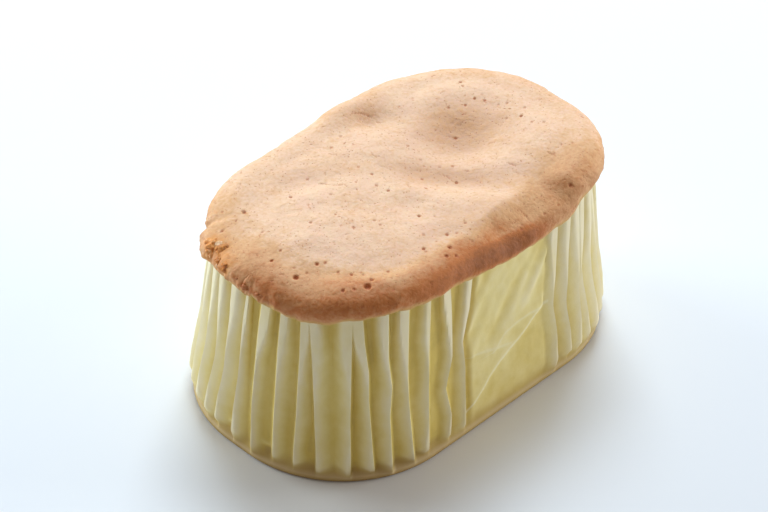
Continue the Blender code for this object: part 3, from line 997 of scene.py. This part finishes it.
# %% [markdown]
# ## The sponge: place the lip and the side
#
# The lip's profile is a smooth curve through a few named points, so that the rounded edge has no corners.
# Two sizes of noise swell it unevenly, and the swelling fades out under the lip where the crust meets the
# paper.


# %% The rounded edge
# Layers of roughness: height, bumps to the metre and seed
LIP_SWELLING = ((0.00045, 110, 0.0), (0.00025, 300, 0.0))
LIP_KNOBS = ((0.00042, 620, 3.0), (0.00012, 1500, 5.0))
RAGGED_EDGE = (0.00034, 330, 7.0)
CRUMBLED_EDGE = (0.00030, 800, 2.0)

# Heights over the rim between which the knobs fade, the ragged edge fades and the swelling comes in
KNOBS_FADE = (0.0006, 0.0030)
RAGGED_FADES = (0.0008, 0.0022)
SWELLING_STARTS = (-0.0004, 0.0006)
BEHIND_PAPER = 0.0007

# The side begins this far under the rim, and ends with its underside this far in and this high
TUCKED_UNDER = 0.0009
BOTTOM_INSET = 0.0010
BOTTOM_HEIGHT = 0.0007
CURVE_STEPS = 40
CRUST_ANGLE = 60


def smooth_path(profile, count):
    """This many points, evenly spaced, on a smooth curve through a profile's points."""
    knots = np.array(profile)
    knots = np.vstack((2 * knots[0] - knots[1], knots, 2 * knots[-1] - knots[-2]))
    fine = []
    for a, b, c, d in zip(knots, knots[1:], knots[2:], knots[3:]):
        for t in np.linspace(0, 1, CURVE_STEPS, endpoint=False):
            square = (2 * a - 5 * b + 4 * c - d) * t**2
            cube = (3 * b - a - 3 * c + d) * t**3
            fine.append(0.5 * (2 * b + (c - a) * t + square + cube))
    fine = np.array([*fine, knots[-2]])
    walked = np.concatenate(([0.0], np.cumsum(np.linalg.norm(np.diff(fine, axis=0), axis=1))))
    even = np.linspace(0, walked[-1], count)
    return np.column_stack([np.interp(even, walked, fine[:, axis]) for axis in (0, 1)])


def lip_points(way, inset, above):
    """Points of the crust's rounded edge, this far above the rim."""
    height = RIM_HEIGHT + above + soft_steps(RIM_LIFT, way)
    x, y = plan_points(way, 0.0)
    spots = np.column_stack((x, y, height))
    edge = np.column_stack((x, y, 0 * x))
    crumbly = soft_steps(CRUMBLY, way)
    low = 1 - s_curve(*KNOBS_FADE, above)
    swell = soft_steps(LIP_SWELL, way) + rough_sum(spots, *LIP_SWELLING)
    swell += crumbly * (0.3 + 0.7 * low) * rough_sum(spots, *LIP_KNOBS)
    ragged = rough_sum(edge, RAGGED_EDGE) + crumbly * rough_sum(edge, CRUMBLED_EDGE)
    ragged += soft_steps(LIP_DROP, way)
    height = height + ragged * (1 - s_curve(*RAGGED_FADES, above))
    return oval_points(way, inset - swell * s_curve(*SWELLING_STARTS, above), height)


def side_inset(height):
    """How far the sponge's side lies inside the base oval: just behind the paper."""
    return straight(LEAN, height) + PLEAT_DEPTH + BEHIND_PAPER


lip = smooth_path(LIP_PROFILE, LIP_ROWS + 1)[::-1]
side_rows = [(side_inset(RIM_HEIGHT), RIM_HEIGHT - TUCKED_UNDER)]
side_rows += [(side_inset(height), height) for height in SIDE_HEIGHTS]
side_rows.append((side_inset(SIDE_HEIGHTS[-1]) + BOTTOM_INSET, BOTTOM_HEIGHT))

places = np.zeros_like(flat)
in_lip = (ring == 0) & (row <= LIP_ROWS)
places[in_lip] = lip_points(sponge_way[in_lip], lip[row[in_lip], 0], lip[row[in_lip], 1])
for index, (inset, height) in enumerate(side_rows):
    here = row == LIP_ROWS + 1 + index
    way = sponge_way[here]
    lift = soft_steps(RIM_LIFT, way) * (index == 0)
    places[here] = oval_points(way, inset, height + lift)
print("the lip reaches y =", round(float(places[in_lip, 1].min()), 4))

# %% [markdown]
# ## The sponge: place the top
#
# The rings of the top get smaller and sharper towards the middle line of the oval. Points are spread
# evenly along each ring, but the outer rings start from the lip's own spacing, so that the mesh runs on
# without a shear.


# %% Rings of the top
# The level of a ring runs from 0 at the lip to 1 at the middle line. Levels between which the spacing turns
# even, the dome rises, the relief comes in and the lip's own swelling fades
EVEN_LEVELS = (0.0, 0.4)
DOME_LEVELS = (0.0, 0.8)
RELIEF_LEVELS = (0.0, 0.25)
SWELLING_LEVELS = (0.0, 0.22)
TOP_SWELLING = ((0.00045, 85, 0.4), (0.00024, 210, 2.4), (0.00009, 620, 4.1))


def ring_shape(level):
    """Half end, half side and corner radius of the ring at a level."""
    end, straight_side, radius = quarter_sizes(LIP_PROFILE[-1][0])
    half_width = (end + radius) * (1 - level)
    corner = np.minimum(radius * (1 - level), half_width)
    half_length = straight_side + radius - (end + radius) * level
    return half_width - corner, half_length - corner, corner


def ring_points(way, side, along, level):
    """x and y on a ring, by its way at the lip and its even place along its side of the ring."""
    end, straight_side, corner = ring_shape(level)
    arc = math.pi / 2 * corner
    around = end + arc + straight_side
    quarter, within = quarter_and_place(way % PERIMETER, QUARTER)
    at_lip = (
        end * np.clip(within / HALF_END, 0, 1)
        + arc * np.clip((within - HALF_END) / CORNER_ARC, 0, 1)
        + straight_side * np.clip((within - HALF_END - CORNER_ARC) / HALF_SIDE, 0, 1)
    )
    at_lip = quarter * around + np.where(quarter % 2 == 0, at_lip, around - at_lip)
    even = side_way(side, along, end + arc / 2, around)
    at_lip = at_lip + 4 * around * np.rint((even - at_lip) / (4 * around))
    place = at_lip + (even - at_lip) * s_curve(*EVEN_LEVELS, level)
    quarter, within = quarter_and_place(np.mod(place, 4 * around), around)
    turn = np.clip((within - end) / np.maximum(arc, TINY), 0, 1) * math.pi / 2
    turn = np.where(corner < TINY, math.pi / 2, turn)
    x = straight_side - np.clip(within - end - arc, 0, straight_side) + corner * np.cos(turn)
    y = np.clip(within, 0, end) + corner * np.sin(turn)
    return in_quarter(quarter, x, y)


def soft_spots(x, y, spots):
    """The sum of soft round spots, each given by its middle, half length, half width, turn and amount."""
    total = np.zeros_like(x)
    for cx, cy, half_length, half_width, turn, amount in spots:
        angle = math.radians(turn)
        over = (x - cx) * math.cos(angle) + (y - cy) * math.sin(angle)
        across = (y - cy) * math.cos(angle) - (x - cx) * math.sin(angle)
        total += amount * np.exp(-((over / half_length) ** 2) - (across / half_width) ** 2)
    return total


def top_rise(x, y):
    """The broad relief of the crust."""
    return soft_spots(x, y, TOP_FORMS) + rough_sum(np.column_stack((x, y, 0 * x)), *TOP_SWELLING)


on_top = (ring > 0) & (row == 0)
way, level = sponge_way[on_top], share[on_top]
lip_edge = lip_points(way, lip[0, 0], np.full(on_top.sum(), lip[0, 1]))
edge_height = lip_edge[:, 2]
top_points = swayed(*ring_points(way, side[on_top], along[on_top], level), edge_height)
swelling = lip_edge - oval_points(way, lip[0, 0], edge_height)
top_points += swelling * (1 - s_curve(*SWELLING_LEVELS, level))[:, None]
relief = top_rise(top_points[:, 0], top_points[:, 1]) * s_curve(*RELIEF_LEVELS, level)
top = CRUST_HEIGHT + DOME_RISE * s_curve(*DOME_LEVELS, level) + relief
inward = level * HALF_TOP_WIDTH
roll = SHOULDER_SLOPE * inward * np.clip(1 - inward / ROLL_WIDTH, 0.0, 1.0) ** 2
slope = s_curve(0.0, soft_steps(SHOULDER_WIDTH, way), inward)
top_points[:, 2] = edge_height + (top - edge_height) * slope + roll
places[on_top] = top_points
write_points(sponge, places)
finish_mesh(sponge, CRUST_ANGLE)
print("the crust is", round(float(top_points[:, 2].max()) * 1000, 1), "mm high at most")

# %% [markdown]
# ## The sponge: open the bubbles and cracks
#
# A bubble that burst as the crust set is a small round pit with a darker, redder wall. Cutting hundreds
# of them with Booleans would be slow and leave bad faces. Here each pit pushes the points round its
# middle inwards, along the direction they face, and marks them, so that the material can colour the pit.


# %% Push pits and cracks into the crust
JUST_ABOVE = CRUST_HEIGHT + 0.001
CRUST_FROM = RIM_HEIGHT - 0.001
PIT_DEPTH = 0.42
SMALL_PIT_DEPTH = 0.35
CRACK_DEPTH = 0.5
CRACK_STAIN = 0.55
CRACK_STEP = 0.0002
CRACK_BOW = 0.12
CRACK_TIP = 0.45

# Shares of a pit's width: how far it is felt, and how wide a listed bubble is pressed. Shares of its
# radius: between which its wall rises, and between which its colour fades
PIT_REACH = 0.85
PRESSED_WIDTH = 0.92
WALL_RISES = (0.45, 1.15)
COLOUR_FADES = (0.65, 1.25)

# Small bubbles are tried in a rectangle of this half length and half width, and kept near the crust. The
# chance to keep one varies from place to place, and is higher on the near half and at the front.
PORES_OVER = (0.045, 0.029)
NEAR_CRUST = 0.006
CROWDS_PER_METRE = 55
CROWD_MEAN = 0.5
CROWD_SWING = 0.9
MORE_ON_NEAR_HALF = 0.35
MORE_AT_FRONT = 0.3
FRONT = -0.012
SMALL_WIDTH = 0.00028
SMALL_WIDTH_MORE = 0.00044
SMALL_STAINS = (0.40, 0.95)


class PitMaker:
    """Presses pits into a piece, and keeps the depth of colour in them for every point."""

    def __init__(self, piece):
        self.piece = piece
        self.points = read_points(piece)
        crust = np.nonzero(self.points[:, 2] > CRUST_FROM)[0]
        self.tree = kdtree.KDTree(len(crust))
        for index in crust:
            self.tree.insert(self.points[index], index)
        self.tree.balance()
        self.pressed = np.zeros(len(self.points))
        self.stain = np.zeros(len(self.points))

    def pit(self, place, width, depth, colour):
        """Marks a round pit with a flat bottom and soft walls."""
        for _, index, distance in self.tree.find_range(place, width * PIT_REACH):
            share = distance / (width / 2)
            self.pressed[index] = max(self.pressed[index], depth * (1 - s_curve(*WALL_RISES, share)))
            self.stain[index] = max(self.stain[index], colour * (1 - s_curve(*COLOUR_FADES, share)))

    def wide_pores(self):
        """Marks the listed bubbles."""
        for x, y, width in WIDE_PORES:
            place, _, _ = self.tree.find((x, y, JUST_ABOVE))
            self.pit(place, width * PRESSED_WIDTH, width * PIT_DEPTH, 1.0)

    def cracks(self, draw):
        """Marks each crack as a bowed row of small pits, narrower at both ends."""
        for x0, y0, x1, y1, width in CRACKS:
            over, up = x1 - x0, y1 - y0
            steps = max(4, round(math.hypot(over, up) / CRACK_STEP))
            bow = draw.uniform(-CRACK_BOW, CRACK_BOW)
            for step in range(steps + 1):
                t = step / steps
                lift = bow * math.sin(math.pi * t)
                spot = (x0 + over * t + up * lift, y0 + up * t - over * lift, JUST_ABOVE)
                place, _, _ = self.tree.find(spot)
                narrow = width * (CRACK_TIP + (1 - CRACK_TIP) * math.sin(math.pi * t))
                self.pit(place, narrow, narrow * CRACK_DEPTH, CRACK_STAIN)

    def small_pores(self, draw):
        """Scatters small bubbles in crowds, most of them near the front and the near end."""
        made = 0
        while made < SMALL_PORES:
            x, y = (draw.uniform(-half, half) for half in PORES_OVER)
            place = Vector((x, y, CRUST_HEIGHT))
            crowd = CROWD_MEAN + CROWD_SWING * noise.noise(place * CROWDS_PER_METRE)
            crowd += MORE_ON_NEAR_HALF * (x < 0) + MORE_AT_FRONT * (y < FRONT)
            found, _, distance = self.tree.find(place)
            if draw.random() > crowd or distance > NEAR_CRUST:
                continue
            width = SMALL_WIDTH + SMALL_WIDTH_MORE * draw.random() ** 3
            self.pit(found, width, width * SMALL_PIT_DEPTH, draw.uniform(*SMALL_STAINS))
            made += 1

    def press(self):
        """Moves the marked points inwards, along the direction they face."""
        faces = read_points(self.piece, "normal")
        write_points(self.piece, self.points - faces * self.pressed[:, None])


pits = PitMaker(sponge)
draw = random.Random(SEED + 2)
pits.wide_pores()
pits.cracks(draw)
pits.small_pores(draw)
pits.press()
print("points inside pits:", int((pits.stain > 0.5).sum()))

# %% [markdown]
# ## The sponge: how brown each point is
#
# The oven browns what stands out: the lip is deep brown, the top is peach coloured, and the underside of
# the lip, which the paper shaded, stays golden. The browning near the edge also paints the shade of the
# shoulder and lip where they slope away from the light, most of all at the near front. That is a matter of
# place, so it is worked out for each point and stored with the mesh for the material to read.

# %% Browning
# How far in from the lip the browning reaches, by way. Near the front it reaches further, which paints the
# shade of the slope.
BROWN_AND_SHADE_REACH = (
    (-0.0400, 0.0045), (-0.0160, 0.0085), (0.0000, 0.0118), (0.0120, 0.0115), (0.0240, 0.0095),
    (0.0350, 0.0080), (0.0450, 0.0070), (0.0600, 0.0052), (0.0670, 0.0056), (0.0760, 0.0086),
    (0.0860, 0.0124), (0.0980, 0.0120), (0.1150, 0.0065),
)
# How brown the shoulder is where the lip begins, and the lip itself, by way. Part of it is painted shade
# where they slope away from the light.
SHOULDER_BROWN_AND_SHADE = (
    (-0.0400, 0.08), (-0.0160, 0.42), (-0.0060, 0.55), (0.0150, 0.58), (0.0400, 0.60), (0.0560, 0.56),
    (0.0700, 0.38), (0.0800, 0.40), (0.0870, 0.56), (0.0960, 0.50), (0.1080, 0.16),
)
LIP_BROWN = (
    (-0.0400, 0.55), (-0.0200, 0.50), (-0.0100, 0.66), (0.0060, 0.88), (0.0180, 0.92), (0.0380, 0.96),
    (0.0500, 1.10), (0.0580, 1.30), (0.0680, 1.40), (0.0740, 1.24), (0.0820, 0.58), (0.0960, 0.42),
    (0.1100, 0.40), (0.1400, 0.75), (0.2000, 0.60),
)
# Darker and pinker places on the top, mostly its hollows, partly pinker crust and partly painted shade: x,
# y, half length, half width, turn in degrees, amount
BLUSH_AND_SHADE_SPOTS = (
    (0.0214, 0.0042, 0.0066, 0.0088, 43, 0.86),
    (0.0076, -0.0050, 0.0112, 0.0030, -53, 0.62),
    (0.0090, 0.0215, 0.0060, 0.0024, -35, 0.30),
    (-0.0150, 0.0150, 0.0070, 0.0030, -30, 0.20),
    (0.0010, -0.0015, 0.0045, 0.0025, -40, 0.26),
    (0.0235, -0.0205, 0.0070, 0.0050, -40, 0.36),
    (-0.0050, 0.0080, 0.0030, 0.0020, -40, 0.10),
    (-0.0020, -0.0195, 0.0140, 0.0050, -5, 0.36),
    (-0.0230, -0.0160, 0.0090, 0.0060, -30, 0.16),
)

MOTTLE = ((0.6, 140, 6.0), (0.4, 420, 8.0))
MOTTLED_BORDER = 0.25
MOTTLED_TOP = 0.14
BROWN_FROM_BLUSH_AND_SHADE = 0.25
PALER_UNDERSIDE = 0.30
BROWN_KNOBS = 0.30

# Between which shares of the way down the lip its underside gets paler, its knobs brown and its foot golden
UNDERSIDE = (0.50, 0.66)
KNOBS = (0.15, 0.45)
GOLDEN = (0.61, 0.70)

mottle = rough_sum(places, *MOTTLE)
knobbly = soft_steps(CRUMBLY, sponge_way) * rough(places, 700, 9.0)
blush_and_shade = soft_spots(places[:, 0], places[:, 1], BLUSH_AND_SHADE_SPOTS)
down_the_lip = np.where(ring == 0, np.clip(row / LIP_ROWS, 0, 1), 0.0)
inward = share * HALF_TOP_WIDTH / soft_steps(BROWN_AND_SHADE_REACH, sponge_way)
near_edge = np.where(row == 0, 1 - s_curve(0.0, 1.0, inward - MOTTLED_BORDER * mottle), 1.0)

# The browner the shoulder or the lip, the higher up the lip's own brown starts.
shoulder = soft_steps(SHOULDER_BROWN_AND_SHADE, sponge_way)
most = soft_steps(LIP_BROWN, sponge_way)
early = 0.2 * np.maximum(most - 1.0, 0.0)
starts_at, full_at = 0.22 - 0.6 * shoulder - early, 0.72 - 0.8 * shoulder - 2 * early
lip_brown = s_curve(starts_at, full_at, down_the_lip + 0.06 * mottle)

# The browning is real browning together with painted shade of the slopes that face away from the light.
brown_and_shade = near_edge * (shoulder + np.maximum(most - shoulder, 0.0) * lip_brown)
brown_and_shade += MOTTLED_TOP * mottle * (0.3 + near_edge) + BROWN_FROM_BLUSH_AND_SHADE * blush_and_shade
brown_and_shade -= PALER_UNDERSIDE * most * s_curve(*UNDERSIDE, down_the_lip)
brown_and_shade += BROWN_KNOBS * knobbly * s_curve(*KNOBS, down_the_lip)
golden = s_curve(*GOLDEN, down_the_lip + 0.05 * mottle + 0.06 * knobbly)
write_values(sponge, "brown_and_shade", np.clip(brown_and_shade, 0.0, 1.4))
write_values(sponge, "golden", golden)
write_values(sponge, "blush_and_shade", blush_and_shade * (row == 0))
write_values(sponge, "pit", pits.stain)
print("the sponge has", count_triangles(sponge), "triangles")

# %% [markdown]
# ## The torn edge
#
# At the near end the lip has torn and crumbled. Orange crags of crumb stick out of it with a few pale
# spots between, and small brown knobs run on along the lower edge. Each one is an icosphere whose points
# are pushed in and out by noise, sunk partly into the lip. Its bareness says how brown, orange or pale it
# is. The lumps are joined to one piece, and the crust round the bare ones turns orange too.

# %% Lumps of crumb
# Each lump: way, inset, height, width, and bareness from 0 for brown crust to 1 for pale crumb
LUMPS = (
    (-0.0166, 0.0030, 0.0420, 0.0031, 0.38), (-0.0152, 0.0026, 0.0411, 0.0028, 0.50),
    (-0.0155, 0.0039, 0.0428, 0.0018, 0.85), (-0.0140, 0.0039, 0.0423, 0.0028, 0.28),
    (-0.0140, 0.0044, 0.0431, 0.0016, 0.20), (-0.0116, 0.0031, 0.0417, 0.0026, 0.22),
    (-0.0111, 0.0027, 0.0408, 0.0020, 0.80), (-0.0090, 0.0031, 0.0419, 0.0027, 0.22),
    (-0.0052, 0.0035, 0.0418, 0.0024, 0.02), (-0.0006, 0.0034, 0.0413, 0.0026, 0.0),
    (0.0055, 0.0034, 0.0412, 0.0025, 0.0),
)
LUMP_SHAPE = (1.0, 1.0, 0.8)
TORN_REACH = 0.70


def lump_middle(way, inset, height):
    """The middle of a lump, in space."""
    return oval_points(np.array([way]), inset, np.array([height]))[0]


def crumb_lump(index, way, inset, height, width, bareness):
    """One rough lump of crumb on the lip."""
    lump = new_object(f"lump_{index}", bpy.ops.mesh.primitive_ico_sphere_add, subdivisions=5, radius=1.0)
    shape = read_points(lump)
    reach = 1 + rough_sum(shape, (0.42, 1.5, index), (0.13, 3.8, index + 7), (0.05, 9, index))
    flattened = shape * reach[:, None] * np.array(LUMP_SHAPE)
    write_points(lump, lump_middle(way, inset, height) + flattened * width / 2)
    write_values(lump, "bareness", bareness + 0.22 * rough(shape, 2.0, index + 3))
    return lump


def torn_skin(points):
    """How torn the crust is at points: 1 at an orange or pale lump, fading out round it."""
    torn = np.zeros(len(points))
    ragged = 1 + 0.5 * rough(points, 900, 12.0)
    for way, inset, height, width, bareness in LUMPS:
        distance = np.linalg.norm(points - lump_middle(way, inset, height), axis=1) * ragged
        fading = np.exp(-((distance / (TORN_REACH * width)) ** 2))
        torn = np.maximum(torn, min(1.0, bareness * 5) * fading)
    return torn


write_values(sponge, "torn", torn_skin(places))
lumps = [crumb_lump(index, *lump) for index, lump in enumerate(LUMPS)]
select_only(*lumps)
bpy.ops.object.join()
crumbs = lumps[0]
crumbs.name = crumbs.data.name = "torn_crumb"
finish_mesh(crumbs, CRUST_ANGLE)
print("the lumps have", count_triangles(crumbs), "triangles")

# %% [markdown]
# ## Finish of the crust
#
# A castella's crust is matte and a little see-through, like skin, so its shader has some subsurface
# light. Its skin is peach with pinker and yellower patches, and the stored browning turns it tan, then
# brown. Tiny specks, short dashes and the reddish bubbles lie over it. The bump has four parts: flecks,
# fine wrinkles, wider creases and the specks.

# %% Colours and bumps of the crust
PEACH = (0.850, 0.553, 0.356)
YELLOW_PEACH = (0.862, 0.571, 0.358)
PINK_PEACH = (0.825, 0.513, 0.341)
# BLUSH_AND_SHADE_COLOUR is partly the pinker crust of the hollows and partly painted shade in them.
BLUSH_AND_SHADE_COLOUR = (0.60, 0.330, 0.210)
TAN = (0.72, 0.395, 0.185)
CRUST_BROWN = (0.50, 0.162, 0.041)
DEEP_BROWN = (0.32, 0.102, 0.026)
GOLDEN_CRUMB = (0.63, 0.37, 0.125)
PIT_RED = (0.50, 0.150, 0.050)
CRAG_ORANGE = (0.74, 0.290, 0.062)


def across_the_view(tree, longer):
    """Object coordinates turned to run across the camera's view, and drawn out along it."""
    return object_place(tree, (longer, 1.0, 1.0), CAMERA_AZIMUTH, "TEXTURE")


def pinholes(tree, per_metre, longer, low, high):
    """Small specks or dashes from a Voronoi texture: 1 in a speck, 0 outside."""
    inputs = {"Vector": across_the_view(tree, longer), "Scale": per_metre}
    return between(tree, add_node(tree, "TexVoronoi", inputs, "Distance"), low, high, 1.0, 0.0)


def wrinkled(tree, per_metre, longer):
    """Noise drawn out across the cake, like the fine wrinkles of a shrunken skin."""
    return cloudy(tree, across_the_view(tree, longer), per_metre, 3.0, 0.5)


tree, shader = new_finish("baked_crust", sponge, {
    "Roughness": 0.62,
    "Specular IOR Level": 0.30,
    "Subsurface Weight": 0.12,
    "Subsurface Radius": (1.0, 0.45, 0.20),
    "Subsurface Scale": 0.0016,
})
clouds = grain(tree, 90, detail=3.0)
patches = grain(tree, 260, detail=3.0)
flecks = grain(tree, 1500, detail=3.0)
wrinkles = wrinkled(tree, 1500, 1.4)
creases = wrinkled(tree, 560, 1.5)
specks = pinholes(tree, 1150, 1.0, 0.08, 0.19)
specks = combined(tree, "MULTIPLY", specks, between(tree, grain(tree, 240), 0.40, 0.54))
dashes = pinholes(tree, 900, 2.6, 0.06, 0.15)
dashes = combined(tree, "MULTIPLY", dashes, between(tree, grain(tree, 330), 0.50, 0.60))
specks = combined(tree, "MAXIMUM", specks, dashes)

skin = mixed(tree, between(tree, patches, 0.36, 0.64), PINK_PEACH, YELLOW_PEACH)
skin = mixed(tree, between(tree, clouds, 0.30, 0.70, 0.25, 0.85), skin, PEACH)
# The blush lays pinker crust and painted shade over the top's hollows.
skin = laid_over(tree, skin, (stored(tree, "blush_and_shade"), 1.0, BLUSH_AND_SHADE_COLOUR))
# The stored browning carries painted shade of the edge's slopes too.
browned_and_shaded = varied(
    tree, stored(tree, "brown_and_shade"),
    (clouds, 0.35, 0.75, -0.04, 0.10),
    (flecks, 0.30, 0.75, -0.09, 0.15),
    (wrinkles, 0.50, 0.72, 0.0, 0.10),
    (creases, 0.50, 0.72, -0.02, 0.12),
)
colour = coloured(
    tree, browned_and_shaded, skin, (0.0, 0.38, TAN), (0.38, 1.0, CRUST_BROWN), (1.05, 1.50, DEEP_BROWN)
)
colour = laid_over(
    tree, colour,
    (stored(tree, "golden"), 1.0, GOLDEN_CRUMB),
    (stored(tree, "torn"), 1.0, CRAG_ORANGE),
    (specks, 0.85, PIT_RED),
    (stored(tree, "pit"), 0.90, PIT_RED),
)
tree.links.new(colour, shader.inputs["Base Color"])

normal = bumped(
    tree,
    (flecks, 0.85, 0.00015),
    (wrinkles, 0.30, 0.00022),
    (creases, 0.42, 0.00035),
    (combined(tree, "SUBTRACT", 1.0, specks), 0.45, 0.00020),
)
tree.links.new(normal, shader.inputs["Normal"])
print("crust finish has", len(tree.nodes), "nodes")

# %% Crumb
CRAG_BROWN = (0.44, 0.150, 0.042)
PALE_CRUMB = (0.86, 0.57, 0.33)

tree, shader = new_finish("golden_crumb", crumbs, {
    "Roughness": 0.75,
    "Subsurface Weight": 0.20,
    "Subsurface Radius": (1.0, 0.5, 0.2),
    "Subsurface Scale": 0.0012,
})
open_crumb = grain(tree, 1800, detail=3.0)
bare = varied(tree, stored(tree, "bareness"), (open_crumb, 0.30, 0.70, -0.12, 0.12))
colour = coloured(tree, bare, CRAG_BROWN, (0.05, 0.35, CRAG_ORANGE), (0.40, 0.95, PALE_CRUMB))
tree.links.new(colour, shader.inputs["Base Color"])
tree.links.new(bumped(tree, (open_crumb, 0.5, 0.0003)), shader.inputs["Normal"])
print("crumb finish has", len(tree.nodes), "nodes")

# %% [markdown]
# ## Finish of the paper
#
# Greaseproof paper turns see-through where it is soaked. In the valleys it sticks to the cake and shows
# the yellow sponge, and on the crests it hangs free and stays whitish. So the colour follows the paleness
# that was stored for each point, which is low in the valleys, and soft stains break it up. On the steep
# flanks and in the hollows under the low folds the paleness goes lower still, which paints shade there.
# The crests' folds and the creases get a painted highlight, and low down a brown band of baked sugar shows,
# with a dark bottom line that is partly soaked brown and partly painted shade.

# %% Colours of the paper
FREE_PAPER = (0.90, 0.785, 0.520)
HALF_SOAKED_PAPER = (0.825, 0.685, 0.305)
SOAKED_PAPER = (0.69, 0.518, 0.138)
# SHADED_PAPER is painted shade, for the steep flanks and the hollows under the webs.
SHADED_PAPER = (0.44, 0.310, 0.080)
# HIGHLIGHT_PAPER is the colour of the painted highlight on crest folds and creases.
HIGHLIGHT_PAPER = (0.95, 0.91, 0.74)
BAKED_PAPER = (0.45, 0.29, 0.115)
BEAD_PAPER = (0.70, 0.55, 0.33)
# SOAKED_AND_SHADED_BOTTOM_PAPER is the dark bottom line: partly soaked brown, partly painted shade at the
# floor.
SOAKED_AND_SHADED_BOTTOM_PAPER = (0.26, 0.165, 0.07)

# How strong the painted highlight on the crests' folds is, and each crease's painted highlight: its half
# width in millimetres and its whiteness
CREST_HIGHLIGHT = 0.05
CREASE_HIGHLIGHTS = {
    "over_long_crease": (0.60, 0.42),
    "over_near_crease": (0.50, 0.20),
    "over_upper_crease": (0.50, 0.24),
}


def crease_highlight_line(tree, name, wide):
    """A thin painted highlight along a crease: 1 on the crease and 0 this many millimetres away."""
    return between(tree, combined(tree, "ABSOLUTE", stored(tree, name), 0.0), 0.0, wide, 1.0, 0.0)


tree, shader = new_finish("greaseproof_paper", paper, {
    "Roughness": 0.60,
    "Specular IOR Level": 0.25,
    "Subsurface Weight": 0.20,
    "Subsurface Radius": (1.0, 0.95, 0.55),
    "Subsurface Scale": 0.0003,
})
stains = grain(tree, 160, detail=3.0, stretch=(1.0, 1.0, 0.45))
blotches = grain(tree, 420, detail=4.0)
fibres = grain(tree, 2600)
# The paleness runs below zero on the steep flanks and in the web hollows, which paints shade there.
free = varied(
    tree, stored(tree, "pale"), (stains, 0.30, 0.70, -0.14, 0.14), (blotches, 0.30, 0.70, -0.08, 0.08)
)
# A painted highlight along the crest folds and the plain sides' creases.
crease_highlight = combined(tree, "MULTIPLY", stored(tree, "crease_highlight"), CREST_HIGHLIGHT)
for name, (wide, whiteness) in CREASE_HIGHLIGHTS.items():
    line = combined(tree, "MULTIPLY", crease_highlight_line(tree, name, wide), whiteness)
    crease_highlight = combined(tree, "MAXIMUM", crease_highlight, line)
colour = coloured(
    tree, free, SHADED_PAPER,
    (-0.45, -0.05, SOAKED_PAPER),
    (0.0, 0.50, HALF_SOAKED_PAPER),
    (0.50, 1.0, FREE_PAPER),
)
colour = laid_over(
    tree, colour,
    (crease_highlight, 1.0, HIGHLIGHT_PAPER),
    (stored(tree, "baked"), 0.90, BAKED_PAPER),
    (stored(tree, "bead"), 0.60, BEAD_PAPER),
    (stored(tree, "soaked_bottom_and_shade"), 0.80, SOAKED_AND_SHADED_BOTTOM_PAPER),
)
tree.links.new(colour, shader.inputs["Base Color"])
normal = bumped(tree, (fibres, 0.25, 0.00005), (blotches, 0.20, 0.0003))
tree.links.new(normal, shader.inputs["Normal"])
print("paper finish has", len(tree.nodes), "nodes")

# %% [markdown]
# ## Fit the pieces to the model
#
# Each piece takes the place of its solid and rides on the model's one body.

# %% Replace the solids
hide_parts("paper_case")
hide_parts("sponge")
for piece, slot in ((paper, "paper"), (sponge, "sponge"), (crumbs, "sponge")):
    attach(piece, "root")
